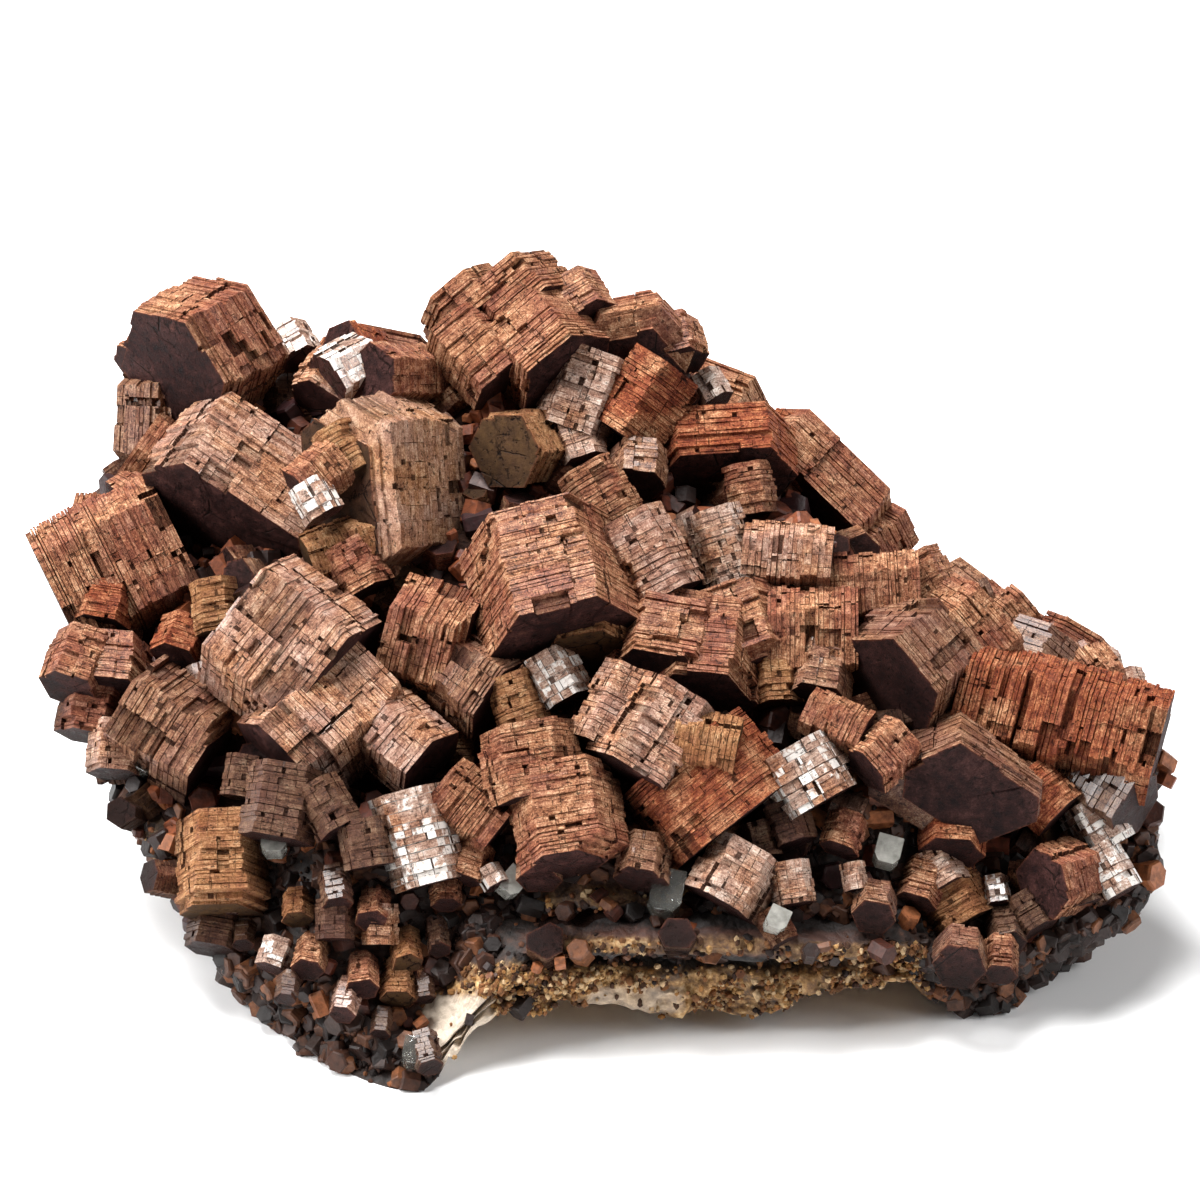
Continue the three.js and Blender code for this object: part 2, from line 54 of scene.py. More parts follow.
# The surface through the crystals' middles: x, y, height, depth of the rock below it.
RELIEF = np.array([
    (-34, -34, 7, 3), (-17, -42, 4, 2.5), (-6, -37, 13, 3), (8, -36, 15, 3), (24, -35, 14, 3),
    (36, -32, 9, 3), (50, -25, 11, 4), (-45, -15, 19, 6), (-25, -24, 23, 6), (0, -22, 27, 7),
    (25, -19, 27, 7), (45, -16, 23, 7), (-52, -2, 27, 7), (-30, -2, 34, 8), (0, 0, 37, 8),
    (22, 2, 37.5, 8), (34, -7, 27.5, 7), (45, -11, 24, 6), (55, -15, 20, 6), (-46, 12, 33, 7),
    (-37, 20, 44, 8), (-22, 17, 43, 8), (-8, 19, 47, 9), (5, 17, 44, 8), (16, 11, 36, 8),
    (26, 8, 26, 8), (-52, 8, 23, 6), (-40, 27, 33, 7), (-20, 28, 33, 7), (0, 28, 33, 7),
    (17, 21, 27, 6), (30, 9, 19, 6), (40, 2, 15, 5), (50, -3, 13, 5), (-34, 32, 17, 5),
    (-14, 34, 16, 5), (6, 34, 14, 5), (24, 24, 12, 5), (36, 14, 10, 4),
], float)
RELIEF_BLEND = 30
# The intergrown base lies this far under the relief, and farther down, by the fade, in front of the line.
BASE_DEPTH = 3.5
BASE_FRONT = -16
BASE_RUN = 8
BASE_FADE = 4
# The rock in front of this line is what the photograph shows of it.
FRONT_LINE = -15
# The arch under the rock's front: x and height, where it fades out, and over how long.
ARCH = [(-16, 0), (-12, 3.6), (-6, 4.6), (2, 4.4), (5, 2.2), (16, 2), (18.5, 5), (28, 5.4), (32, 1.5),
        (34, 0)]
ARCH_BACK = -24
ARCH_RUN = 9

# Painted shade between the crystals starts at this height over the relief and is full after this run down.
GAP_SHADE_TOP = 2.0
GAP_SHADE_RUN = 6.5
# Plan outline of the rock at its foot and at the edge of its top.
FOOT = [
    (38, -11), (34, 2), (21, 11), (1, 17), (-18, 16), (-30, 6), (-34, -9), (-32, -25),
    (-27, -37), (-17.5, -43.5), (-8, -37), (8, -34.5), (24, -33.5), (34, -31), (39, -24.5), (40, -17),
]
SHOULDER = [
    (50, -12), (43, 1), (27, 17), (2, 27), (-22, 28), (-41, 22), (-48, 4), (-44, -17),
    (-33, -31), (-18, -39), (-6, -36.5), (8, -35.5), (24, -35), (36, -32), (47, -28), (52, -21),
]
ROCK_MIDDLE = np.array([0.0, -7.0])
# The bedding on the rock's side: share of the height, and mm out.
BEDS = [(0, 0.4), (0.1, 0.8), (0.2, 0.9), (0.25, -0.8), (0.42, 0.5), (0.47, -1.0), (0.66, 0.6), (0.84, 0.4),
        (1, 0)]

# How a crystal looks, in shares: silver sheen (a coat, and a pale colour that is partly painted sheen; over
# 1, painted white highlights), orange rust, darkness, gold tint.
LOOKS = {
    "rust": (0.15, 0.35, 0.10, 0.0),
    "grey": (0.55, 0.10, 0.00, 0.0),
    "silver": (1.00, 0.00, 0.00, 0.0),
    "orange": (0.05, 1.00, 0.00, 0.0),
    "dark": (0.20, 0.00, 0.90, 0.0),
    "gold": (0.10, 0.20, 0.10, 0.9),
    "plum": (0.25, 0.00, 0.45, 0.0),
    "olive": (0.50, 0.10, 0.00, 0.5),
    # Bright crystals stand in for glints: over 1, their silver share paints white highlight bricks into the
    # colour.
    "bright": (1.80, 0.00, 0.00, 0.0),
}

# Crystals in the photograph: pixel x and y of the end face turned to the viewer, heading and facing in
# degrees, mm across corners, mm long and look; then, where they aren't 0, 1 and 0, the spin in degrees, the
# squash of one pair of faces and the lift above the relief in mm.
USUAL_STANCE = (0, 1, 0)
BACK_LEFT = [
    (173, 376, 145, 40, 15.2, 9, "rust", -6, 1, 0), (180, 421, 3, 24, 10.6, 5.6, "plum", 0, 0.68, 0),
    (57, 600, 154, 5, 15.4, 13, "rust", 0, 0.82, 0), (224, 524, 124, 35, 20, 10, "grey", 0, 0.6, 0),
    (346, 490, 176, 52, 18.6, 11.5, "olive", 0, 0.7, 0), (300, 492, 140, 15, 5.6, 5, "rust", 0, 1, 6),
    (356, 474, 60, 10, 5, 5, "gold", 0, 1, 6.5), (325, 516, 60, 10, 4.4, 3.6, "bright", 0, 1, 5),
    (308, 562, 160, 10, 6, 7, "gold"), (368, 592, 60, 10, 6, 5, "rust"),
    (333, 684, 38, 15, 16, 10.8, "grey", 0, 0.85, 0), (280, 765, 138, 18, 12.5, 12.5, "grey", 10, 1, 0),
    (430, 765, 40, 20, 8.5, 7, "grey"), (215, 758, 32, 12, 12, 9.5, "plum"),
    (68, 690, 110, 35, 6.6, 6, "rust"), (112, 695, 95, 35, 7, 5.5, "rust"),
    (175, 658, 110, 30, 5.5, 4, "orange"), (220, 632, 80, 10, 5, 5, "gold"),
    (327, 380, 150, 30, 6.5, 5, "bright", 0, 1, 1), (88, 737, 100, 15, 7, 6, "rust", 0, 1, -1),
    (115, 775, 95, 15, 6, 5, "grey", 0, 1, -1), (303, 360, 60, 35, 4.6, 4, "silver", 0, 1, -3),
    (345, 522, 60, 10, 5, 4, "rust"), (240, 798, 100, 10, 4, 4, "dark"), (340, 830, 60, 10, 5, 5, "dark"),
    (131, 366, 145, 35, 5.6, 4.5, "rust"), (100, 625, 100, 20, 6, 4, "orange"),
    (118, 505, 150, 20, 5.5, 5, "rust", 0, 1, 0.5), (318, 402, 124, 30, 7, 5, "grey", 0, 1, -1),
]
CROWN = [
    (340, 342, 200, 45, 5.2, 5, "orange"), (372, 376, 178, 50, 6.8, 9.6, "rust"),
    (505, 450, 170, 60, 8.5, 5, "gold", 20, 1, 0), (566, 374, 50, 30, 11.5, 7, "rust"),
    (637, 361, 80, 60, 12, 4.6, "rust"), (680, 362, 75, 30, 6.2, 4.4, "rust"),
    (480, 322, 50, 15, 9, 4, "rust", 0, 1, -1), (468, 348, 55, 20, 6, 4, "plum", 0, 1, -2),
    (534, 318, 50, 18, 11, 5, "rust"), (590, 320, 60, 30, 6.4, 4.6, "rust", 0, 1, -2),
    (505, 385, 50, 20, 8, 8, "rust"), (620, 437, 125, 3, 9.2, 8.2, "orange", 30, 1, 0),
    (570, 432, 110, 5, 8.5, 8, "silver"), (718, 402, 60, 20, 3.8, 3.2, "silver"),
    (799, 502, 134, 30, 16.2, 6, "rust", 0, 0.6, 0), (725, 478, 86, 35, 15, 5.4, "orange", 0, 0.75, 0),
    (637, 485, 95, 35, 6, 4, "plum"), (755, 515, 80, 5, 5, 5, "rust"), (585, 462, 70, 20, 5, 5, "silver"),
    (592, 450, 80, 20, 6, 6, "rust", 0, 1, -3),
]
RIGHT_SIDE = [
    (738, 592, 72, 5, 6, 8.2, "silver"), (832, 562, 5, 3, 7, 8.5, "grey"),
    (920, 590, -3, 2, 8.1, 9.3, "rust"), (858, 640, 0, 2, 10.5, 8.5, "rust"),
    (668, 598, 62, 8, 8, 8.5, "grey"), (618, 525, 60, 5, 6.5, 6.5, "rust"),
    (566, 643, 75, 32, 16, 12, "rust", -2, 1, 0), (470, 652, 17, 12, 12, 7.5, "rust", 12, 1, 0),
    (500, 700, 35, 20, 9.5, 5.5, "plum"), (530, 735, 70, 5, 5.5, 6, "gold"),
    (568, 702, 60, 10, 6, 5, "bright", 0, 1, 0.5), (662, 682, 103, 35, 11.5, 8, "rust", 5, 1, 0),
    (703, 700, 95, 35, 11, 9, "rust"), (755, 672, 70, 25, 10, 8, "rust"),
    (778, 705, 85, 15, 5.5, 5, "gold"), (815, 700, 100, 30, 7, 5, "plum"), (865, 735, 25, 10, 5, 6, "rust"),
    (883, 692, 140, 45, 13, 9, "plum"), (950, 652, 140, 10, 11.5, 5.4, "rust"),
    (1000, 627, 140, 5, 5.5, 3.6, "rust", 0, 1, 3.6), (1060, 664, 120, 5, 7.6, 4, "rust", 0, 1, 2),
    (1105, 688, 80, 20, 4.8, 3.6, "grey", 0, 1, 1), (1134, 708, 70, 20, 4.4, 3.6, "grey"),
    (938, 602, 60, 10, 6, 5, "rust", 0, 1, 3), (1160, 748, 15, 8, 11.8, 19.5, "orange", -2, 0.9, 0),
    (955, 800, 100, 65, 12.4, 8, "plum", 95, 1.55, 0), (1060, 815, 45, 10, 6, 5, "orange"),
    (1135, 808, 30, 30, 8, 6, "dark"), (1110, 848, 60, 5, 6, 5, "bright"),
    (1043, 884, 165, 42, 7.4, 5, "rust"), (1120, 895, 60, 10, 5, 5, "bright"),
    (950, 855, 95, 35, 7, 5, "orange"), (590, 655, 85, 30, 10, 5, "gold", 10, 1, 0),
    (960, 715, 150, 20, 5.5, 5, "rust"),
]
FRONT = [
    (632, 778, 122, 12, 11, 9, "grey"), (600, 750, 118, 10, 7.5, 8, "grey"),
    (738, 752, 10, 5, 6.6, 6, "gold", 0, 1, 5), (735, 825, 52, 5, 15, 8.5, "orange", 0, 0.8, 0),
    (575, 865, 80, 20, 11, 9, "rust"), (540, 800, 80, 10, 10, 7, "rust"), (500, 832, 38, 5, 7.5, 7, "rust"),
    (430, 885, 75, 5, 7.5, 9, "bright"), (370, 867, 80, 5, 5, 4.5, "dark"),
    (275, 840, 100, 10, 8, 7, "dark"), (225, 912, 88, 20, 9.5, 9, "gold"),
    (640, 880, 100, 30, 5.5, 4, "plum"), (720, 905, 120, 10, 8, 6, "silver"),
    (820, 805, 60, 5, 9, 6, "bright"), (865, 770, 140, 20, 6, 5, "rust"),
    (795, 905, 80, 10, 4.4, 4, "silver"), (795, 845, 70, 15, 5, 4, "dark"),
    (838, 850, 110, 25, 4, 3.6, "rust"), (765, 858, 75, 10, 3.6, 3.4, "dark"),
    (857, 890, 80, 10, 2.6, 2.6, "silver", 0, 1, 0.5), (497, 886, 60, 15, 2.6, 2, "bright", 0, 1, 1),
    (465, 880, 110, 20, 4, 3.6, "rust"), (540, 880, 90, 40, 4.6, 4, "plum", 0, 1, -0.5),
]
# Small crystals on the bare rock, in the same columns, and how much their size is reduced.
ON_ROCK_SIZE = 0.95
ON_ROCK = [
    (965, 925, 60, 10, 8, 6, "gold", 0, 1, -2), (958, 968, 100, 60, 6, 4, "plum", 0, 1, -1),
    (873, 917, 100, 60, 4.6, 4, "plum", 0, 1, -1), (1010, 945, 80, 50, 4.2, 4, "dark", 0, 1, -1),
    (915, 905, 110, 30, 5, 4.6, "rust", 10, 1, -1), (1000, 975, 95, 40, 3.6, 4, "rust", 0, 1, -1),
    (950, 888, 60, 20, 5, 4, "silver"), (1040, 930, 60, 20, 4.2, 4, "dark", 0, 1, -1),
    (1085, 905, 70, 10, 4.4, 4, "dark", 0, 1, -1), (1000, 905, 80, 30, 3, 3, "bright"),
    (212, 950, 100, 20, 6, 5, "dark", 0, 1, -2), (243, 945, 95, 40, 2.4, 3, "dark", 15, 1, -1),
    (270, 968, 110, 20, 3.6, 3, "bright"), (298, 920, 90, 35, 3.4, 3, "gold", 10, 1, -1),
    (338, 905, 80, 35, 3.4, 4, "dark", 0, 1, -1), (372, 922, 95, 50, 3.6, 4, "rust", 20, 1, -1),
    (308, 970, 100, 45, 3.6, 3.6, "rust", 0, 1, -1), (362, 990, 85, 50, 3.6, 4, "rust", 5, 1, -1),
    (285, 1000, 100, 40, 2.4, 3, "dark", 0, 1, -1), (408, 965, 80, 45, 3.4, 4, "gold", 10, 1, -1),
    (398, 1000, 90, 35, 3.8, 4, "gold", 0, 1, -1), (342, 1015, 105, 40, 3, 4, "grey", 15, 1, -1),
    (380, 1035, 95, 40, 2.2, 3, "dark", 0, 1, -1), (430, 1068, 75, 40, 3, 4, "dark", 0, 1, -1),
    (445, 905, 90, 30, 3.4, 4, "rust", 0, 1, -1), (440, 950, 80, 45, 2.6, 3.6, "dark", 12, 1, -1),
    (232, 914, 90, 20, 1.6, 2, "bright", 0, 1, 0.5), (335, 940, 90, 10, 4, 4, "dark", 0, 1, -1),
    (380, 945, 90, 5, 4, 4, "grey", 0, 1, -1), (425, 1000, 80, 30, 2.4, 3, "dark", 0, 1, -1),
]
# Crystals of the sides and back: x, y, azimuth, rise, mm across, mm long, spin, look.
FAR_SIDE = [
    (-39, 22, 130, 15, 10, 8, 10, "rust"), (-33, 27, 115, 20, 12, 8, 0, "grey"),
    (-22, 24, 80, 40, 11, 8, 20, "rust"), (-25, 31, 100, 0, 10, 7, 5, "orange"),
    (-11, 27, 95, 25, 13, 9, 12, "rust"), (1, 25, 75, 40, 10, 8, 0, "rust"),
    (-1, 31, 85, 0, 10, 7, 25, "grey"), (11, 23, 65, 10, 11, 8, 8, "rust"),
    (18, 15, 60, 25, 9, 7, 0, "orange"), (21, 20, 50, 5, 10, 7, 15, "rust"),
    (26, 11, 50, 10, 9, 7, 5, "rust"), (34, 7, 35, 10, 9, 7, 0, "plum"), (37, -1, 20, 35, 8, 6, 20, "rust"),
    (45, -2, 20, 10, 8, 6, 10, "grey"), (-48, 7, 175, 10, 9, 7, 0, "rust"),
    (-42, 12, 160, 30, 9, 6, 30, "rust"), (11, 29, 75, -10, 9, 6, 10, "dark"),
    (-36, 30, 120, -5, 9, 6, 20, "rust"), (39, 4, 45, 10, 9, 8, 0, "rust"),
    (43, 1, 35, 5, 9, 8, 12, "grey"), (36, 8, 50, 0, 8, 7, 20, "rust"), (46, -3, 25, 5, 9, 8, 5, "rust"),
    (41, -5, 60, 30, 8, 7, 0, "plum"),
]
# Anglesite: pixel x and y, mm long, broad and thick, and turn; and which of them are milky, partly their own
# cloudiness and partly a painted highlight for white glints.
MILKY_ONES = (0, 3, 4, 5)
ANGLESITE = [
    (274, 855, 2.6, 2.4, 2.2, 0), (662, 914, 4.2, 3.0, 2.4, 12), (136, 772, 5.0, 3.4, 2.4, 30),
    (503, 893, 2.6, 2.2, 2.0, 40), (884, 866, 2.8, 2.4, 2.0, 15), (772, 931, 2.2, 2.0, 2.0, 25),
    (1096, 838, 3.4, 2.6, 2.4, -30), (412, 1066, 2.6, 2.2, 2.0, 10),
]

TILT = math.radians(VIEW_ELEVATION)
RIGHT = np.array([1.0, 0.0, 0.0])
PICTURE_UP = np.array([0.0, math.sin(TILT), math.cos(TILT)])
TO_VIEWER = np.array([0.0, -math.cos(TILT), math.sin(TILT)])
AIM = np.array([0.0, 0.0, float(AIM_HEIGHT)])
EYE = AIM + VIEW_DISTANCE * TO_VIEWER


def smooth(t):
    """3t^2 - 2t^3, with t kept between 0 and 1."""
    c = np.clip(t, 0, 1)
    return c * c * (3 - 2 * c)


def lattice(ix, iy, iz, seed):
    """A repeatable number from 0 to 1 for each whole-number corner: multiply, mix the bits, take some."""
    h = ix * 73856093 ^ iy * 19349663 ^ iz * 83492791 ^ (seed * 2654435761 & 0xFFFFFFFF)
    h = (h ^ (h >> 13)) * 1274126177 & 0xFFFFFFFF
    h = (h ^ (h >> 16)) * 668265263 & 0xFFFFFFFF
    return (h >> 8 & 0xFFFF) / 65535.0


def noise(points, size, seed=0):
    """Smooth noise from -1 to 1: corner values of a grid of that size, blended by 3t^2 - 2t^3 each way."""
    p = points / size + 1000
    cell = np.floor(p).astype(np.int64)
    f = p - cell
    f = f * f * (3 - 2 * f)
    total = np.zeros(len(p))
    for corner in range(8):
        dx, dy, dz = corner & 1, corner >> 1 & 1, corner >> 2 & 1
        share = ((f[:, 0] if dx else 1 - f[:, 0]) * (f[:, 1] if dy else 1 - f[:, 1])
                 * (f[:, 2] if dz else 1 - f[:, 2]))
        total += share * lattice(cell[:, 0] + dx, cell[:, 1] + dy, cell[:, 2] + dz, seed)
    return 2 * total - 1


def relief(x, y):
    """Height and rock depth: the control points blended by weights 1 / (distance^2 + blend)^2."""
    square = (x[..., None] - RELIEF[:, 0]) ** 2 + (y[..., None] - RELIEF[:, 1]) ** 2 + RELIEF_BLEND
    weight = 1 / square ** 2
    total = weight.sum(-1)
    return (weight * RELIEF[:, 2]).sum(-1) / total, (weight * RELIEF[:, 3]).sum(-1) / total


def land_on_relief(photo_x, photo_y, offset, lift):
    """Where the pixel's ray, shifted by the offset, first meets the relief plus the lift, or is nearest."""
    target = (AIM + RIGHT * (photo_x - PHOTO_MIDDLE) * MM_PER_PIXEL
              + PICTURE_UP * (PHOTO_MIDDLE - photo_y) * MM_PER_PIXEL)
    share = np.linspace(*RAY_REACH, RAY_STEPS)[:, None]
    points = EYE + (target - EYE) * share + offset
    points = points[points[:, 1] <= CREST]
    gap = points[:, 2] - relief(points[:, 0], points[:, 1])[0] - lift
    under = np.nonzero(gap <= 0)[0]
    return points[under[0] if len(under) else np.argmin(gap)]


def photo_pixel(points):
    """Pixel x and y of each point in the photograph: its offset from the axis over its distance."""
    away = points - EYE
    far = -away @ TO_VIEWER
    scale = VIEW_DISTANCE / MM_PER_PIXEL / far
    return PHOTO_MIDDLE + away @ RIGHT * scale, PHOTO_MIDDLE - away @ PICTURE_UP * scale


def patch(points, x0, x1, y0, y1, soft):
    """1 inside a box of the photograph, falling smoothly to 0 over the soft width outside it."""
    px, py = photo_pixel(points)
    gap = np.maximum(np.maximum(x0 - px, px - x1), np.maximum(y0 - py, py - y1))
    return smooth(1 - gap / soft)


def photo_frame(heading, facing):
    """Axis and first side of a crystal: the axis is the heading in the picture, raised to the viewer."""
    h, f = math.radians(heading), math.radians(facing)
    axis = (RIGHT * math.cos(f) * math.cos(h) - PICTURE_UP * math.cos(f) * math.sin(h)
            + TO_VIEWER * math.sin(f))
    return axis, RIGHT * math.sin(h) + PICTURE_UP * math.cos(h)


def closed_curve(points, share):
    """Uniform Catmull-Rom curve through the points, closed, at shares of its run from 0 to 1."""
    p = np.array(points, float)
    at = share * len(p)
    i = np.floor(at).astype(int)
    t = (at - i)[:, None]
    a, b, c, d = (p[(i + k) % len(p)] for k in (-1, 0, 1, 2))
    return 0.5 * (2 * b + (c - a) * t + (2 * a - 5 * b + 4 * c - d) * t ** 2
                  + (3 * b - a - 3 * c + d) * t ** 3)


def base_drop(y):
    """How far the intergrown base lies under the relief: its depth, and more in front of its line."""
    return BASE_DEPTH + BASE_FADE * smooth((BASE_FRONT - y) / BASE_RUN)


def painted_gap_shade_of(points):
    """How deep each point lies in the gaps, for the painted shade there: 0 at 2 mm above the relief,
    smoothly to 1 at 4.5 mm below it.
    """
    height = relief(points[:, 0], points[:, 1])[0]
    return smooth((height + GAP_SHADE_TOP - points[:, 2]) / GAP_SHADE_RUN)


def unit(vectors):
    """Each vector over its own length."""
    return vectors / np.linalg.norm(vectors, axis=-1, keepdims=True)


# What the finishes read from the meshes: each attribute's type, and whether a point or a face has it.
ATTRIBUTES = {
    "grown": ("FLOAT_VECTOR", "POINT"), "rim": ("FLOAT", "POINT"), "grime": ("FLOAT", "POINT"),
    "tone": ("FLOAT", "FACE"), "recess": ("FLOAT", "FACE"), "cap": ("FLOAT", "FACE"),
    "kind": ("FLOAT_COLOR", "FACE"), "stain": ("FLOAT_COLOR", "POINT"), "hollow": ("FLOAT", "POINT"),
    "tint": ("FLOAT_COLOR", "FACE"),
}
FIELDS = {"FLOAT": "value", "FLOAT_VECTOR": "vector", "FLOAT_COLOR": "color"}


class Growth:
    """Triangles of one piece, gathered crystal by crystal, with the attributes that its finish reads."""

    def __init__(self):
        self.points, self.triangles, self.values = [], [], {}
        self.count = 0

    def add(self, points, triangles, look, **values):
        """Adds a crystal whose triangles count from its own first point."""
        # How deep in the gaps each point lies: the finish paints shade there.
        values["grime"] = painted_gap_shade_of(points)
        values["kind"] = np.tile(np.array(LOOKS[look]), (len(triangles), 1))
        for name, value in values.items():
            self.values.setdefault(name, []).append(value)
        self.points.append(points)
        self.triangles.append(triangles + self.count)
        self.count += len(points)


def triangle_object(name, points, triangles):
    """A mesh object from whole arrays of points, in mm, and triangles. Heights under 0 become 0."""
    points = np.column_stack([points[:, :2], np.maximum(points[:, 2], 0)])
    mesh = bpy.data.meshes.new(name)
    mesh.vertices.add(len(points))
    mesh.vertices.foreach_set("co", (points * MM).astype(np.float32).ravel())
    mesh.loops.add(3 * len(triangles))
    mesh.loops.foreach_set("vertex_index", triangles.astype(np.int32).ravel())
    mesh.polygons.add(len(triangles))
    mesh.polygons.foreach_set("loop_start", np.arange(0, 3 * len(triangles), 3, dtype=np.int32))
    mesh.update(calc_edges=True)
    piece = bpy.data.objects.new(name, mesh)
    bpy.context.scene.collection.objects.link(piece)
    return piece


def attribute(piece, name, values):
    """Stores one value per point or per face under a name that the finish reads."""
    kind, domain = ATTRIBUTES[name]
    layer = piece.data.attributes.new(name, kind, domain)
    layer.data.foreach_set(FIELDS[kind], np.ascontiguousarray(values, np.float32).ravel())


def dress(piece, finish, node, flat=True):
    """Gives a piece its finish and, unless it is smooth, flat faces; hangs it on the root body and hides the
    CAD part that it stands for.
    """
    if flat:
        piece.data.shade_flat()
    piece.data.materials.append(finish)
    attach(piece, "root")
    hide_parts(node)


def crystal_piece(name, growth, node="vanadinite_crystals"):
    """One object of gathered crystals, with its attributes."""
    piece = triangle_object(name, np.concatenate(growth.points), np.concatenate(growth.triangles))
    for key, values in growth.values.items():
        attribute(piece, key, np.concatenate(values))
    dress(piece, VANADINITE, node)


# Thickness of a plate and usual length of a brick, in mm, for each look.
PLATES = {"rust": 0.42, "grey": 0.52, "silver": 0.6, "orange": 0.42, "dark": 0.6, "gold": 0.5, "plum": 0.5,
          "olive": 0.5, "bright": 0.8}
BRICKS = {"rust": 2.0, "grey": 1.5, "silver": 1.2, "orange": 2.2, "dark": 1.5, "gold": 1.8, "plum": 1.8,
          "olive": 1.8, "bright": 1.2}
COS60, SIN60 = 0.5, math.sqrt(3) / 2
COS30 = math.cos(math.radians(30))
# How much of its half width a crystal loses at its ends, as a slight barrel.
BULGE = 0.03
# A crystal this wide steps in and out in full; a narrower one in proportion.
FULL_STRENGTH = 12
# Faces under the ground by this much get no bricks.
BURIED = 1.0
MOST_CUTS = 8
SHORTEST_CUT_FACE = 1.2
# Some crystals wider than this get a stepped end.
TERRACE_WIDTH = 9
TERRACE_DROPS = (0.35, 0.2)
# Width of the ring inside the edge of an end face.
END_RIM = 0.4
# How far steps of wide blocks go in, in mm, each as often as it stands here.
BLOCK_STEPS = [0.0, 0.0, 0.0, -0.1, -0.2, -0.35, -0.6]
# Odds, from plate to plate, of new brick cuts and of new wide blocks; of a plate that is set back, and how
# far; and of a missing brick, and how far in it leaves the face.
NEW_CUTS = 0.5
NEW_BLOCKS = 0.15
SET_BACK = (0.07, 0.16)
MISSING = (0.04, 0.5)
# Random steps of a run's bricks, a plate and a brick's ends, in mm.
RUN_STEP = (-0.06, 0.05)
PLATE_STEP = (-0.045, 0.045)
BRICK_STEP = (-0.035, 0.035)
# Cuts keep clear of a face's ends and of each other by these shares of its width, never taken under 0.3 mm.
CUT_MARGIN = 0.06
CUT_SPACING = 0.08
LEAST_ROOM = 0.3
# Half width and depth of the notches, in mm; odds of a wide and of a closed one, and the closed one's depth.
NOTCH_HALF = (0.01, 0.04)
WIDE_HALF = (0.08, 0.3)
NOTCH_DEPTH = (0.04, 0.35)
WIDE_ODDS = 0.1
CLOSED_ODDS = 0.35
CLOSED_DEPTH = 0.01
# Tone and depth of a notch, and depth of the faces between plates, as the finish reads them; where the depth
# is large the finish paints shade.
NOTCH_TONE = 0.2
NOTCH_RECESS = 0.8
LEDGE_RECESS = 0.1
# Half gap between plates, in mm: usual and wide, and the odds of a wide one.
PLATE_GAP = (0.01, 0.03)
WIDE_GAP = (0.05, 0.09)
WIDE_GAP_ODDS = 0.2
# How far the middle of a plate reaches past its rim, in mm, so that the gap to the next one closes inwards.
HUB_REACH = 0.6


def bricked_face(reach, length, cuts, plates, dice, strength):
    """One prism face as bricks: for each plate, the cut places along it, the bricks' left and right
    distances from the axis, and how far each brick stands out.

    Distance = the plate's reach + the step of its wide block + the random steps of its run, of the
    plate and of the brick. Cuts are shared by runs of a few plates, and wide blocks span many plates."""
    run = np.cumsum(dice.random(plates) < NEW_CUTS)
    layer = np.cumsum(dice.random(plates) < NEW_BLOCKS)
    wide = 2 if cuts >= 4 else 1 if cuts >= 2 else 0
    narrow = cuts - wide
    wide_at = np.sort(dice.uniform(0.15, 0.85, (layer[-1] + 1, wide)), 1)[layer]
    even = (np.arange(narrow) + 1) / (narrow + 1)
    sway = dice.uniform(-0.4, 0.4, (run[-1] + 1, narrow)) / (narrow + 1)
    narrow_at = (even + sway)[run]
    at = np.sort(np.concatenate([wide_at, narrow_at], 1), 1)
    edges = np.concatenate([np.zeros((plates, 1)), at, np.ones((plates, 1))], 1)
    middles = (edges[:, 1:] + edges[:, :-1]) / 2
    block = (middles[:, :, None] > wide_at[:, None, :]).sum(2)
    steps = dice.choice(BLOCK_STEPS, (layer[-1] + 1, wide + 1))
    out = steps[layer][np.arange(plates)[:, None], block] * strength
    out = out + dice.uniform(*RUN_STEP, (run[-1] + 1, cuts + 1))[run]
    out = out + dice.uniform(*PLATE_STEP, (plates, 1))
    out = out - SET_BACK[1] * (dice.random((plates, 1)) < SET_BACK[0])
    missing = (dice.random((run[-1] + 1, cuts + 1)) < MISSING[0])[run]
    out = out - MISSING[1] * strength * missing
    left = out + dice.uniform(*BRICK_STEP, out.shape)
    right = out + dice.uniform(*BRICK_STEP, out.shape)
    return (at - 0.5) * length, reach[:, None] + left, reach[:, None] + right, out


def is_buried(spot, beyond):
    """Whether both points lie well under the higher of the relief's heights at them."""
    pair = np.array([spot, beyond])
    ground = relief(pair[:, 0], pair[:, 1])[0].max() - BURIED
    return (pair[:, 2] < ground).all()


def notched_face(start, low_end, high_end, face, normal, tangent, dice):
    """Outline of one face of every plate: its first corner, then four points at each cut, down one side of a
    narrow notch and up the other; and the tone and depth of the stretch that follows each point."""
    places, left, right, out = face
    plates, cuts = places.shape
    ramp = np.arange(cuts)[None, :]
    room = np.maximum(high_end - low_end, LEAST_ROOM)
    at = np.clip(places, low_end + room * (CUT_MARGIN + CUT_SPACING * ramp),
                 high_end - room * (CUT_MARGIN + CUT_SPACING * (cuts - 1 - ramp)))
    half = dice.uniform(*NOTCH_HALF, at.shape)
    half = np.where(dice.random(at.shape) < WIDE_ODDS, dice.uniform(*WIDE_HALF, at.shape), half)
    closed = dice.random(at.shape) < CLOSED_ODDS
    depth = np.where(closed, CLOSED_DEPTH, dice.uniform(*NOTCH_DEPTH, at.shape))
    deep = np.minimum(right[:, :-1], left[:, 1:]) - depth
    s = np.stack([at - half, at - half, at + half, at + half], 2).reshape(plates, 4 * cuts)
    d = np.stack([right[:, :-1], deep, deep, left[:, 1:]], 2).reshape(plates, 4 * cuts)
    run = d[..., None] * normal + s[..., None] * tangent
    tone = np.full((plates, 4 * cuts + 1), NOTCH_TONE)
    tone[:, ::4] = dice.random((plates, cuts + 1))
    recess = np.full((plates, 4 * cuts + 1), NOTCH_RECESS)
    recess[:, ::4] = -out
    return np.concatenate([start[:, None], run], 1), tone, recess


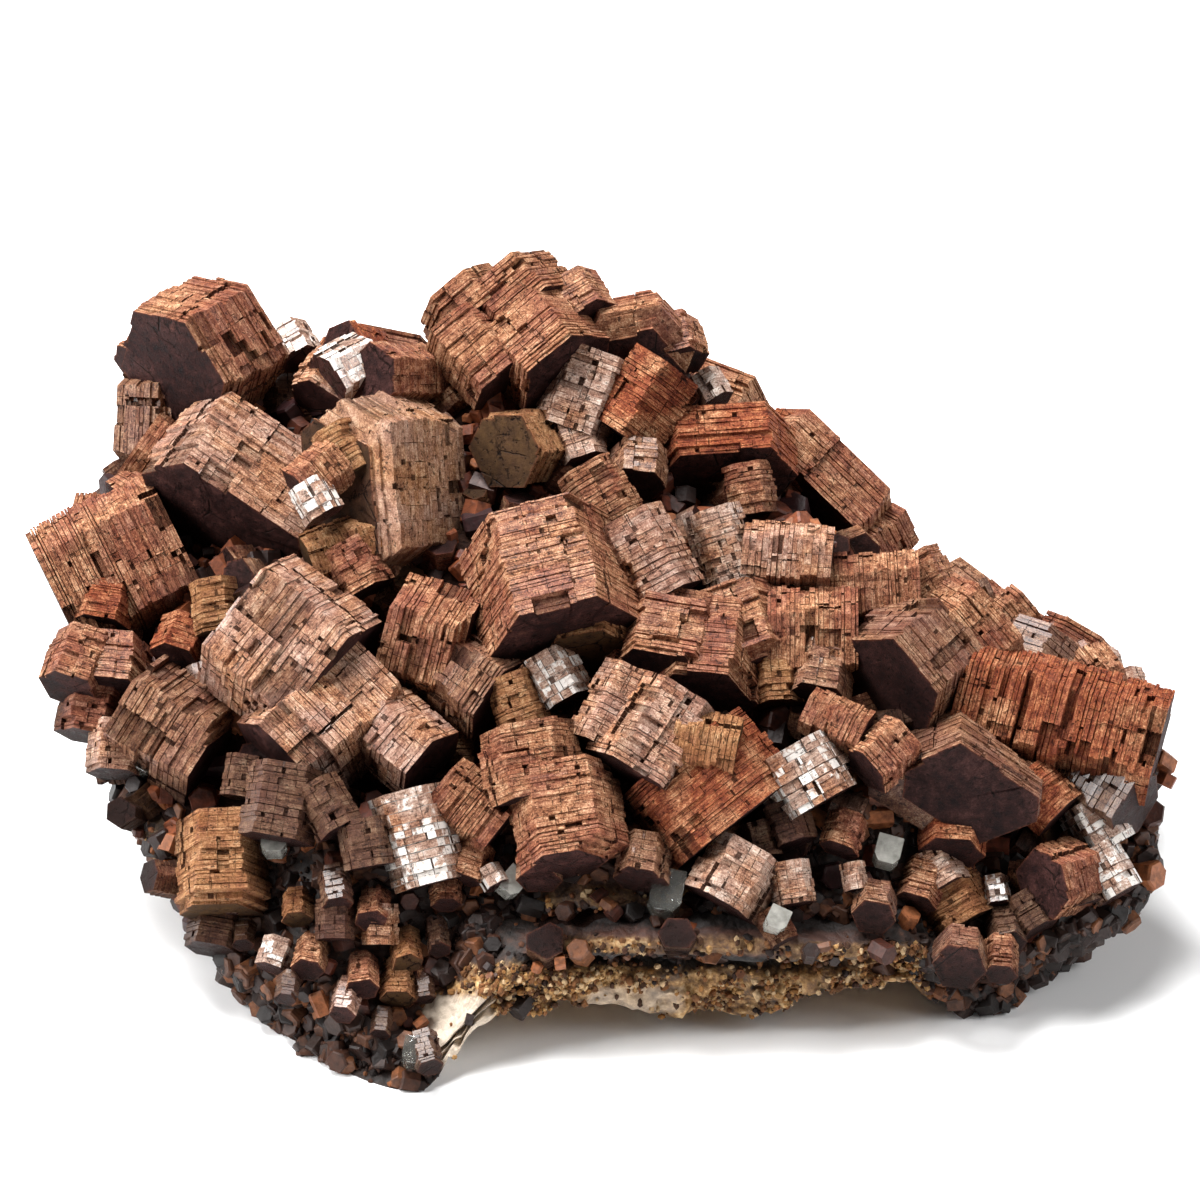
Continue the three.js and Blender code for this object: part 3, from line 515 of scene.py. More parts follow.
def stack_triangles(plates, m):
    """Triangles of a stack of plates with m outline points each: sides, faces between plates, and ends.

    Points run plate by plate: low ring, its hub, top ring, its hub; then the small rings inside both end
    faces. An end is a strip from its edge to the small ring, and a fan from there to the hub."""
    j = np.arange(m)
    nxt = (j + 1) % m
    k = np.arange(plates)[:, None] * 2 * (m + 1)
    low_a, low_b = k + j, k + nxt
    top_a, top_b = low_a + m + 1, low_b + m + 1
    sides = np.concatenate([np.stack([low_a, low_b, top_b], 2), np.stack([low_a, top_b, top_a], 2)], 1)
    low_hub = np.broadcast_to(k + m, low_a.shape)
    under = np.stack([low_hub, low_b, low_a], 2)[1:]
    over = np.stack([low_hub + m + 1, top_a, top_b], 2)[:-1]
    between = np.concatenate([under.reshape(-1, 3), over.reshape(-1, 3)])
    ends = []
    for at_end, ring in ((0, 0), (1, (plates * 2 - 1) * (m + 1))):
        edge, edge_next = ring + j, ring + nxt
        small = plates * 2 * (m + 1) + at_end * m + j
        small_next = small - j + nxt
        strip = np.concatenate([np.stack([edge, edge_next, small_next], 1),
                                np.stack([edge, small_next, small], 1),
                                np.stack([small, small_next, np.full(m, ring + m)], 1)])
        ends.append(strip if at_end else strip[:, ::-1])
    return sides.reshape(-1, 3), between, np.concatenate(ends)


def plated_crystal(growth, middle, axis, side, across, long, spin, squash, dice, look, simple=False,
                   coarse=1.0, terrace=False):
    """A six-sided prism as a stack of thin plates. Each plate's outline is six lines at the bricks'
    distances from the axis, met at the corners, with a narrow notch at each cut. A point is the middle +
    its first coordinate * side + its second * third + its height * axis."""
    third = np.cross(axis, side)
    plates = max(2, round(long / PLATES[look] / coarse))
    thick = dice.uniform(0.6, 1.4, plates)
    top = np.cumsum(thick) / thick.sum() * long
    low = np.concatenate([[0], top[:-1]])
    place = (low + top) / long - 1
    angles = np.radians(spin + 30 + 60 * np.arange(6))
    normal = np.stack([np.cos(angles), np.sin(angles)], 1)
    tangent = np.stack([-np.sin(angles), np.cos(angles)], 1)
    base = across / 2 * COS30 * np.where(np.arange(6) % 3 == 1, squash, 1.0)
    strength = min(1.0, across / FULL_STRENGTH)
    lean = dice.uniform(-0.02, 0.02, (plates, 6)) * across * 0.2
    faces = []
    for i in range(6):
        ahead, behind = base[(i + 1) % 6], base[i - 1]
        length = (ahead + behind - 2 * base[i] * COS60) / SIN60
        shift = (ahead - behind) / (2 * SIN60)
        way = normal[i, 0] * side + normal[i, 1] * third
        spot = middle + way * base[i]
        cuts = min(MOST_CUTS, max(1, round(length / BRICKS[look])))
        if length < SHORTEST_CUT_FACE or is_buried(spot, spot + way * 2.0):
            cuts = 0
        if simple:
            cuts = min(cuts, 1)
        reach = base[i] * (1 - BULGE * place ** 2) + lean[:, i]
        at, left, right, out = bricked_face(reach, length, cuts, plates, dice, strength)
        faces.append((at + shift, left, right, out))
    if terrace:
        first = dice.integers(0, 6)
        for k, drop in enumerate(TERRACE_DROPS):
            for i in (first, (first + 1) % 6):
                for distance in faces[i][1:3]:
                    distance[plates - 1 - k] -= drop * base[i]
    start = np.stack([left[:, 0] for at, left, right, out in faces], 1)
    end = np.stack([right[:, -1] for at, left, right, out in faces], 1)
    corner_s = (np.roll(start, -1, 1) - end * COS60) / SIN60
    corner = end[..., None] * normal + corner_s[..., None] * tangent
    before = np.roll(corner, 1, 1)
    low_s = (before * tangent).sum(2)
    notched = [notched_face(before[:, i], low_s[:, i:i + 1], corner_s[:, i:i + 1], faces[i], normal[i],
                            tangent[i], dice) for i in range(6)]
    outline, tone, recess = (np.concatenate(part, 1) for part in zip(*notched))
    m = outline.shape[1]
    wide = dice.random(plates) < WIDE_GAP_ODDS
    gap = np.where(wide, dice.uniform(*WIDE_GAP, plates), dice.uniform(*PLATE_GAP, plates))
    heights = np.stack([low + gap, top - gap], 1)
    hubs = np.stack([np.maximum(low - HUB_REACH, 0.05), np.minimum(top + HUB_REACH, long - 0.05)], 1)
    for level in (heights, hubs):
        level[0, 0], level[-1, 1] = 0, long
    slope = 1 + dice.uniform(-0.006, 0.006, (plates, 2))
    rings = outline[:, None] * slope[:, :, None, None]
    inset = rings[[0, -1], [0, 1]]
    inset = inset * (1 - END_RIM / np.maximum(np.linalg.norm(inset, axis=2, keepdims=True), 3 * END_RIM))
    flat = np.concatenate([rings, np.zeros((plates, 2, 1, 2))], 2).reshape(-1, 2)
    flat = np.concatenate([flat, inset.reshape(-1, 2)])
    t = np.concatenate([np.repeat(heights[:, :, None], m, 2), hubs[:, :, None]], 2).ravel() - long / 2
    t = np.concatenate([t, np.repeat([-long / 2, long / 2], m)])
    points = middle + flat[:, :1] * side + flat[:, 1:] * third + t[:, None] * axis
    sides, between, ends = stack_triangles(plates, m)
    spare = len(between) + len(ends)
    ledge_tone = dice.random()
    local = np.concatenate([flat, t[:, None]], 1) + dice.uniform(-500, 500, 3)
    rim = np.ones(len(points))
    rim[(np.arange(plates * 2) + 1) * (m + 1) - 1] = 0
    rim[plates * 2 * (m + 1):] = 0
    growth.add(points, np.concatenate([sides, between, ends]), look, grown=local, rim=rim,
               tone=np.concatenate([tone, tone], 1).ravel().tolist() + [ledge_tone] * spare,
               recess=np.concatenate([recess, recess], 1).ravel().tolist() + [LEDGE_RECESS] * spare,
               cap=np.arange(len(sides) + spare) >= len(sides) + len(between))


def photo_crystal(growth, row, dice, **style):
    """A crystal whose viewer-side end lies on its pixel, and whose middle lies on the relief."""
    photo_x, photo_y, heading, facing, across, long, look, *stance = row
    spin, squash, lift = stance or USUAL_STANCE
    axis, side = photo_frame(heading, facing)
    middle = land_on_relief(photo_x, photo_y, -axis * long / 2, lift)
    plated_crystal(growth, middle, axis, side, across, long, spin, squash, dice, look, **style)


def far_crystal(growth, row, dice):
    """A crystal of the sides and back, with its middle on the relief."""
    x, y, azimuth, rise, across, long, spin, look = row
    a, r = math.radians(azimuth), math.radians(rise)
    axis = np.array([math.cos(r) * math.cos(a), math.cos(r) * math.sin(a), math.sin(r)])
    side = np.array([-math.sin(a), math.cos(a), 0.0])
    height = relief(np.array([float(x)]), np.array([float(y)]))[0][0]
    plated_crystal(growth, np.array([x, y, height]), axis, side, across, long, spin, 1, dice, look)


def far_small(growth, count, dice):
    """Small crystals between those of the sides and back, at the rock's shoulder, pointing outwards."""
    share = dice.uniform(-0.02, 0.43, count) % 1
    plan = closed_curve(SHOULDER, share)
    way = unit(plan - ROCK_MIDDLE)
    names = ["rust", "orange", "plum", "dark", "grey", "rust"]
    for spot, (dx, dy) in zip(plan + way * dice.uniform(-3, 1, (count, 1)), way):
        size = dice.uniform(2.2, 5.5)
        axis = unit(np.array([dx, dy, 0.25]) + dice.normal(size=3) * 0.5)
        side = unit(np.cross(axis, dice.normal(size=3)))
        height, depth = relief(spot[:1], spot[1:])
        drop = dice.uniform(0.5, 1.2) * depth[0]
        middle = np.array([spot[0], spot[1], height[0] - drop - dice.uniform(0, 3)])
        plated_crystal(growth, middle, axis, side, size, size * dice.uniform(0.7, 1.2), 0, 1, dice,
                       names[dice.integers(len(names))], simple=True)


# Corners of the outline in that test.
PLAN_POINTS = 120


def inside_outline(points, outline, grow):
    """True for plan points within the grown outline: a ray to the right meets it an odd number of times."""
    ring = inwards(closed_curve(outline, np.arange(PLAN_POINTS) / PLAN_POINTS), grow)
    a, b = ring, np.roll(ring, -1, 0)
    x, y = points[:, :1], points[:, 1:]
    spans = (a[:, 1] > y) != (b[:, 1] > y)
    rise = np.where(b[:, 1] == a[:, 1], 1e-9, b[:, 1] - a[:, 1])
    cross = a[:, 0] + (y - a[:, 1]) * (b[:, 0] - a[:, 0]) / rise
    return (spans & (x < cross)).sum(1) % 2 == 1


# Where gap crystals are tried, in x and y, how many tries for each, and the share kept in front of a line.
PLAN_REACH = ((-54, 56), (-42, 33))
GAP_TRIES = 4
SHOULDER_GROWTH = 1.04
FRONT_SHARE = 0.25
FRONT_CRYSTALS = -26


def gap_places(count, dice):
    """Places on the intergrown base between the large crystals: plan points within the rock's shoulder, at
    the relief's height less the base's drop."""
    tries = GAP_TRIES * count
    spots = np.stack([dice.uniform(*reach, tries) for reach in PLAN_REACH], 1)
    kept = dice.random(tries) < FRONT_SHARE + (spots[:, 1] > FRONT_CRYSTALS)
    spots = spots[inside_outline(spots, SHOULDER, SHOULDER_GROWTH) & kept][:count]
    height, depth = relief(spots[:, 0], spots[:, 1])
    z = height - np.minimum(base_drop(spots[:, 1]), depth) + dice.uniform(-0.8, 0.8, len(spots))
    return np.column_stack([spots, z])


def rubble(growth, count, dice):
    """Small crystals between the large ones, each turned its own way."""
    names = ["rust", "rust", "orange", "plum", "dark", "grey", "gold"]
    for middle in gap_places(count, dice):
        size = dice.uniform(2.4, 4.8)
        axis = unit(dice.normal(size=3) + np.array([middle[0] / 40, middle[1] / 40, 0.6]))
        side = unit(np.cross(axis, dice.normal(size=3)))
        look = names[dice.integers(len(names))]
        plated_crystal(growth, middle, axis, side, size, size * dice.uniform(0.7, 1.3), 0, 1, dice, look,
                       simple=True, coarse=1.2)


# Columns round the rock, and rows up its side, over its top, under its foot and, of the top's, near its
# middle; then the same of the intergrown base.
ROCK_COLUMNS = 470
SIDE_ROWS = 110
TOP_ROWS = 74
FOOT_ROWS = 12
INNER_ROWS = 12
BASE_COLUMNS = 220
BASE_ROWS = 44
BASE_FOOT_ROWS = 6
# The ledges that show at the rock's front, between two pixel columns: pixel y, and mm out of the wall.
LEDGES = [(880, 0), (890, 0.6), (897, 1.3), (906, 1.1), (910, -1.6), (927, -1.9), (932, 0.5), (940, 1.1),
          (953, 0.8), (957, -1.3), (965, -1.2), (970, 0.5), (985, 1.1), (1003, 1.0), (1015, 0.2)]
LEDGE_SPAN = (500, 900)


def underside(x, y):
    """Height of the underside: the arch's profile across the front, fading to flat towards the back."""
    across, height = np.array(ARCH).T
    return np.interp(x, across, height) * smooth((ARCH_BACK - y) / ARCH_RUN)


def closed_rings(rings):
    """Points and triangles of rings stacked bottom to top, closed by a fan to a point at each end."""
    rows, count = rings.shape[:2]
    bottom = rings[0].mean(0)
    top = rings[-1].mean(0)
    points = np.concatenate([rings.reshape(-1, 3), [bottom, top]])
    j = np.arange(count)
    nxt = (j + 1) % count
    k = (np.arange(rows - 1) * count)[:, None]
    a, b = k + j, k + nxt
    sides = np.concatenate([np.stack([a, b, b + count], 2), np.stack([a, b + count, a + count], 2)], 1)
    low = np.stack([np.full(count, rows * count), nxt, j], 1)
    last = (rows - 1) * count
    high = np.stack([np.full(count, rows * count + 1), last + j, last + nxt], 1)
    return points, np.concatenate([sides.reshape(-1, 3), low, high])


def inwards(outline, part):
    """An outline drawn in towards the rock's middle: middle + (outline - middle) * part."""
    return ROCK_MIDDLE + (outline - ROCK_MIDDLE) * part


def front_ledges(points):
    """How far the front's ledges stand out at each point, and where they are: the ledge table read at the
    point's pixel height, waved by two sizes of noise, faded at the ends of the span and behind the front."""
    px, py = photo_pixel(points)
    at, out = np.array(LEDGES).T
    waved = py + 4.5 * noise(points, 9.0, 40) + 2.0 * noise(points, 2.5, 41)
    mask = (smooth((px - LEDGE_SPAN[0]) / 40) * smooth((LEDGE_SPAN[1] - px) / 70)
            * smooth((-18 - points[:, 1]) / 4))
    return np.interp(waved, at, out) * mask, mask


def rock_rings():
    """Rows of the rock from the middle of its foot, out, up the bedded side, and in over the top.

    On the side the plan goes from the foot to the shoulder by the root of the height share, moved out by the
    beds, by thin ledges that are bands of the warped height, and by three sizes of noise."""
    share = np.arange(ROCK_COLUMNS) / ROCK_COLUMNS
    foot = closed_curve(FOOT, share)
    shoulder = closed_curve(SHOULDER, share)
    edge_height, edge_depth = relief(shoulder[:, 0], shoulder[:, 1])
    edge = edge_height - edge_depth
    out_way = unit(shoulder - ROCK_MIDDLE)
    rings = []
    for part in np.linspace(0.06, 1, FOOT_ROWS):
        plan = inwards(foot, part)
        low = underside(plan[:, 0], plan[:, 1])
        p = np.column_stack([plan, low])
        ragged = 0.8 * noise(p, 1.8, 12) + 0.5 * noise(p, 0.8, 13)
        p[:, 2] = np.maximum(low + ragged * smooth(low / 2), 0)
        rings.append(p)
    low = rings[-1][:, 2]
    bed_share, bed_out = np.array(BEDS).T
    for part in np.linspace(0.01, 1, SIDE_ROWS):
        plan = foot + (shoulder - foot) * math.sqrt(part)
        z = low + (edge - low) * part
        p = np.column_stack([plan, z])
        stand, front = front_ledges(p)
        warp = z / 1.5 + 1.3 * noise(p, 9.0, 3) + 0.4 * noise(p, 3.0, 4)
        band = warp - np.floor(warp)
        ledge = 0.5 * (smooth(band * 5) - smooth((band - 0.55) * 5)) - 0.25
        ledge = ledge * (0.9 + 0.9 * noise(p, 7.0, 5)) * (1 - front)
        calm = 1 - 0.75 * patch(p, 425, 490, 995, 1060, 10) * (p[:, 1] < FRONT_LINE)
        rough = (0.75 * noise(p, 4.5, 6) * (1 - 0.6 * front) + (0.45 + 0.25 * front) * noise(p, 1.9, 7)
                 + (0.3 + 0.35 * front) * noise(p, 0.9, 8) + 0.25 * front * noise(p, 0.5, 14)) * calm
        ledge = ledge * calm
        fade = smooth(part * 12) * smooth((1 - part) * 12)
        out = np.interp(part, bed_share, bed_out) * (1 - front) + (ledge + rough) * (0.25 + 0.75 * fade)
        plan = plan + out_way * (out + stand)[:, None]
        lifted = z + 0.3 * noise(p, 1.6, 9) * fade
        rings.append(np.column_stack([plan, np.maximum(lifted, 0)]))
    near_edge = np.linspace(0.99, 0.6, TOP_ROWS - INNER_ROWS)
    near_middle = np.linspace(0.56, 0.05, INNER_ROWS)
    for part in np.concatenate([near_edge, near_middle]):
        plan = inwards(shoulder, part)
        height, depth = relief(plan[:, 0], plan[:, 1])
        p = np.column_stack([plan, height - depth])
        stand = front_ledges(p)[0]
        p[:, 2] += 0.6 * noise(p, 3.5, 10) + 0.35 * noise(p, 1.4, 11)
        p[:, 1] -= stand
        rings.append(p)
    return np.array(rings)


def base_rings():
    """The intergrown base under the crystals, from inside the rock's top up to a little below the relief."""
    shoulder = closed_curve(SHOULDER, np.arange(BASE_COLUMNS) / BASE_COLUMNS)
    rings = []
    for part in np.linspace(0.05, 0.97, BASE_FOOT_ROWS):
        plan = inwards(shoulder, part)
        height, depth = relief(plan[:, 0], plan[:, 1])
        rings.append(np.column_stack([plan, height - depth - 1]))
    for part in np.linspace(0.97, 0.03, BASE_ROWS):
        plan = inwards(shoulder, part)
        height, depth = relief(plan[:, 0], plan[:, 1])
        under_front = 1.6 * smooth((-21 - plan[:, 1]) / 4)
        p = np.column_stack([plan, height - np.minimum(base_drop(plan[:, 1]), depth) - under_front])
        p[:, 2] += 0.7 * noise(p, 3.0, 20) + 0.5 * noise(p, 1.3, 21)
        rings.append(p)
    return np.array(rings)


def tiny_crystals(spots, outs, sizes, dice):
    """Many small six-sided prisms with a chamfered end at once: points = spot + ring point on two sides +
    height along the axis. Gives points, triangles and how many triangles a prism has."""
    n = len(spots)
    axis = unit(outs + dice.normal(size=(n, 3)) * 0.55)
    side = unit(np.cross(axis, dice.normal(size=(n, 3))))
    third = np.cross(axis, side)
    angle = np.radians(60 * np.arange(6))
    radius = sizes[:, None] / 2
    length = sizes * dice.uniform(0.6, 1.3, n)
    rings = []
    for place, grow in ((-0.5, 0.95), (0.42, 1.0), (0.5, 0.88)):
        u = radius * grow * np.cos(angle)
        v = radius * grow * np.sin(angle)
        rings.append(spots[:, None] + u[..., None] * side[:, None] + v[..., None] * third[:, None]
                     + (length * place)[:, None, None] * axis[:, None])
    points = np.concatenate(rings, 1)
    j = np.arange(6)
    nxt = (j + 1) % 6
    faces = []
    for r in (0, 6):
        faces += [np.stack([r + j, r + nxt, r + 6 + nxt], 1), np.stack([r + j, r + 6 + nxt, r + 6 + j], 1)]
    fan = np.array([(0, 1, 2), (0, 2, 3), (0, 3, 4), (0, 4, 5)])
    faces += [fan[:, ::-1], fan + 12]
    one = np.concatenate(faces)
    triangles = one[None] + (np.arange(n) * 18)[:, None, None]
    return points.reshape(-1, 3), triangles.reshape(-1, 3), len(one)


def crumbs(spots, sizes, dice):
    """Many rough grains at once: an icosahedron's twelve corners, each moved in or out by a random share."""
    g = (1 + math.sqrt(5)) / 2
    ball = np.array([(-1, g, 0), (1, g, 0), (-1, -g, 0), (1, -g, 0), (0, -1, g), (0, 1, g), (0, -1, -g),
                     (0, 1, -g), (g, 0, -1), (g, 0, 1), (-g, 0, -1), (-g, 0, 1)])
    ball /= np.linalg.norm(ball[0])
    faces = np.array([(0, 11, 5), (0, 5, 1), (0, 1, 7), (0, 7, 10), (0, 10, 11), (1, 5, 9), (5, 11, 4),
                      (11, 10, 2), (10, 7, 6), (7, 1, 8), (3, 9, 4), (3, 4, 2), (3, 2, 6), (3, 6, 8),
                      (3, 8, 9), (4, 9, 5), (2, 4, 11), (6, 2, 10), (8, 6, 7), (9, 8, 1)])
    n = len(spots)
    radius = sizes[:, None] / 2 * dice.uniform(0.65, 1.15, (n, 12))
    stretch = dice.uniform(0.7, 1.2, (n, 1, 3))
    points = spots[:, None] + ball * radius[..., None] * stretch
    triangles = faces[None] + (np.arange(n) * 12)[:, None, None]
    return points.reshape(-1, 3), triangles.reshape(-1, 3)


class Wire:
    """One output of a finish. Sums, products and the like on it add Math nodes."""

    def __init__(self, finish, socket):
        self.finish = finish
        self.socket = socket

    def math(self, operation, first, second):
        """A Math node on two wires or numbers."""
        return self.finish.add("ShaderNodeMath", {"operation": operation}, {0: first, 1: second})

    def __add__(self, other):
        return self.math("ADD", self, other)

    def __radd__(self, other):
        return self.math("ADD", other, self)

    def __sub__(self, other):
        return self.math("SUBTRACT", self, other)

    def __rsub__(self, other):
        return self.math("SUBTRACT", other, self)

    def __mul__(self, other):
        return self.math("MULTIPLY", self, other)

    def __rmul__(self, other):
        return self.math("MULTIPLY", other, self)

    def __pow__(self, other):
        return self.math("POWER", self, other)

    def clamp(self):
        """The value kept between 0 and 1."""
        return self.finish.add("ShaderNodeClamp", {}, {"Value": self})

    def step(self, low, high):
        """3t^2 - 2t^3, where t runs from 0 at the low value to 1 at the high one."""
        return self.finish.add("ShaderNodeMapRange", {"interpolation_type": "SMOOTHSTEP"},
                               {"Value": self, "From Min": low, "From Max": high})


class Finish:
    """A material being built. The method add makes any node and returns a wire from it; the others are short
    forms of it. A colour is a six-digit code."""

    def __init__(self, name):
        self.material = bpy.data.materials.new(name)
        self.material.use_nodes = True
        self.tree = self.material.node_tree
        self.tree.nodes.clear()

    def add(self, kind, settings, sockets, output=0):
        """Makes a node from its type, its settings and its sockets' values or wires. Gives one output."""
        node = self.tree.nodes.new(kind)
        for key, value in settings.items():
            if key == "stops":
                ramp = node.color_ramp
                while len(ramp.elements) < len(value):
                    ramp.elements.new(1.0)
                for element, (position, colour) in zip(ramp.elements, value):
                    element.position = position
                    element.color = linear(colour)
            else:
                setattr(node, key, value)
        for key, value in sockets.items():
            if isinstance(value, Wire):
                self.tree.links.new(value.socket, node.inputs[key])
            else:
                node.inputs[key].default_value = linear(value) if isinstance(value, str) else value
        return Wire(self, node.outputs[output])

    def read(self, name, output=2):
        """An attribute of the mesh: output 0 its colour, 1 its vector, 2 its number, 3 its alpha."""
        return self.add("ShaderNodeAttribute", {"attribute_name": name}, {}, output)

    def parts(self, colour):
        """The red, green and blue of a colour."""
        return [self.add("ShaderNodeSeparateColor", {}, {"Color": colour}, channel) for channel in range(3)]

    def place(self):
        """Object coordinates, in metres."""
        return self.add("ShaderNodeTexCoord", {}, {}, 3)

    def ramp(self, share, *stops):
        """A colour by a share from 0 to 1, between stops of place and colour."""
        return self.add("ShaderNodeValToRGB", {"stops": stops}, {0: share})

    def bump(self, height, strength, distance):
        """A bumped normal; the distance is in metres."""
        return self.add("ShaderNodeBump", {}, {"Strength": strength, "Distance": distance, "Height": height})

    def mix(self, share, first, second):
        """The first colour turning into the second by a share from 0 to 1."""
        return self.add("ShaderNodeMix", {"data_type": "RGBA"}, {0: share, 6: first, 7: second}, 2)

    def scaled(self, vector, scale):
        """A vector times another, part by part."""
        return self.add("ShaderNodeVectorMath", {"operation": "MULTIPLY"}, {0: vector, 1: scale})

    def noise(self, vector, scale, detail=3.0, roughness=0.55):
        """Layered noise from 0 to 1."""
        return self.add("ShaderNodeTexNoise", {}, {"Vector": vector, "Scale": scale, "Detail": detail,
                                                   "Roughness": roughness})

    def end(self, **sockets):
        """The surface shader and the output."""
        named = {key.replace("_", " "): value for key, value in sockets.items()}
        shader = self.add("ShaderNodeBsdfPrincipled", {}, named)
        self.output = self.tree.nodes.new("ShaderNodeOutputMaterial")
        self.tree.links.new(shader.socket, self.output.inputs["Surface"])
        return self.material


def linear(code):
    """A six-digit screen colour as linear red, green, blue and 1."""
    parts = [int(code[i:i + 2], 16) / 255 for i in (0, 2, 4)]
    return tuple(((c + 0.055) / 1.055) ** 2.4 if c > 0.04045 else c / 12.92 for c in parts) + (1.0,)


# The crystals' faces hardly shine, and their sheen is a coat. Murk is how fast anglesite takes up light.
DULL_IOR = 1.18
SHEEN_IOR = 1.8
CRUMB_IOR = 1.35
ANGLESITE_IOR = 1.88
MURK_DENSITY = 25.0


def vanadinite_finish():
    """Rusty plates with fine growth lines, dark end faces with a red rim, silver sheen on some crystals as a
    coat with a partly painted pale sheen and painted white highlights, and painted shade in notches and gaps
    and on the end faces.
    """
    f = Finish("vanadinite")
    grown = f.read("grown", 1)
    tone = f.read("tone")
    recess = f.read("recess")
    cap = f.read("cap")
    rim = f.read("rim")
    grime = f.read("grime")
    gold = f.read("kind", 3)
    silver, orange, dark = f.parts(f.read("kind", 0))
    lines = f.noise(f.scaled(grown, (0.5, 0.5, 7.0)), 1.0, 3.0, 0.7)
    mottle = f.noise(grown, 1.1, 5.0, 0.65)
    broad = f.noise(grown, 0.22, 2.0, 0.5)
    dust = f.noise(grown, 6.0, 4.0, 0.75)
    grain = (tone - 0.5) * 0.1 + (mottle - 0.5) * 1.4 + (lines - 0.5) * 1.0 + (dust - 0.5) * 1.9
    brick = f.ramp(grain + 0.52, (0.0, "2f130b"), (0.3, "70432d"), (0.6, "a5704f"), (1.0, "e2b78f"))
    rust = f.ramp(grain + 0.5, (0.0, "32110a"), (0.35, "682c1a"), (0.65, "8c492a"), (1.0, "c28355"))
    # Pale grey for silver and grey crystals: partly their own colour, partly painted silver sheen over the
    # brown.
    pale = f.ramp(grain + (tone - 0.5) * 0.2 + 0.5, (0.0, "6b4a3c"), (0.5, "b59684"), (1.0, "e8dbcf"))
    colour = f.mix((orange * 0.75 + (broad - 0.465) * 4.5).clamp(), brick, rust)
    colour = f.mix((silver * (0.5 + (broad - 0.5) * 2.4 + (tone - 0.5) * 0.3)).clamp(), colour, pale)
    colour = f.mix((gold * (mottle - 0.2)).clamp(), colour, "94703f")
    colour = f.mix((dark * 0.8).clamp(), colour, "2b1e1a")
    # Painted highlight: near-white bricks where the silver share is over 1.
    painted_glint = ((silver - 1.0) * 1.2 * (tone * 0.4 + mottle * 0.9).step(0.64, 0.74)).clamp()
    colour = f.mix(painted_glint * 0.85, colour, "f3eee8")
    # End faces: a dark plum of their own, made darker still as painted shade, since most face down, away
    # from the light.
    end_face = f.ramp((mottle - 0.5) * 1.5 + (dust - 0.5) * 1.3 + (broad - 0.5) * 1.2 + 0.42,
                      (0.0, "10080a"), (0.4, "2d1917"), (0.75, "472c29"), (1.0, "664338"))
    end_face = f.mix((gold * (mottle * 1.6 - 0.2)).clamp(), end_face, "594227")
    end_face = f.mix((dark * 0.5).clamp(), end_face, "1c1211")
    end_face = f.mix(((rim ** 3.0) * (mottle * 2.4 - 0.7)).clamp(), end_face, "74402d")
    sway = f.scaled(mottle, (1.6, 1.6, 1.6))
    bent = f.add("ShaderNodeVectorMath", {"operation": "ADD"}, {0: grown, 1: sway})
    cells = f.add("ShaderNodeTexVoronoi", {"feature": "DISTANCE_TO_EDGE"}, {"Vector": bent, "Scale": 0.3})
    cracks = (1 - cells.step(0.004, 0.03)) * broad.step(0.48, 0.6)
    colour = f.mix(cap, colour, end_face)
    # Painted shade: deep notches and bricks set back from the face turn near-black.
    deep = recess.step(0.4, 0.8)
    colour = f.mix(deep * 0.8, colour, "1d0b07")
    # Painted shade: the colour turns near-black deep in the gaps between the crystals.
    colour = f.mix((grime * (1.15 - mottle * 0.5)).clamp(), colour, "190c08")
    pits = f.noise(f.scaled(grown, (2.2, 2.2, 4.5)), 1.0, 2.0, 0.5).step(0.62, 0.67)
    marks = (pits * 0.7 + cracks * 0.9 * cap).clamp()
    colour = f.mix(marks, colour, "120805")
    rough = (0.7 - silver * 0.2 - dark * 0.2 + (mottle - 0.5) * 0.6 + deep * 0.2).clamp()
    height = lines * 0.7 * (1 - cap) + dust * 0.6 + mottle * 0.5 - pits * 1.0 - cracks * cap * 1.5
    bump = f.bump(height, 0.8, 0.0003)
    shine = (silver * 0.8 - 0.1 + dark * 0.2 + painted_glint) * (1 - cap * 0.95) * (1 - grime) * (1 - deep)
    return f.end(Base_Color=colour, Roughness=rough, Normal=bump, IOR=DULL_IOR,
                 Coat_Weight=shine.clamp(), Coat_IOR=SHEEN_IOR, Coat_Roughness=0.25)


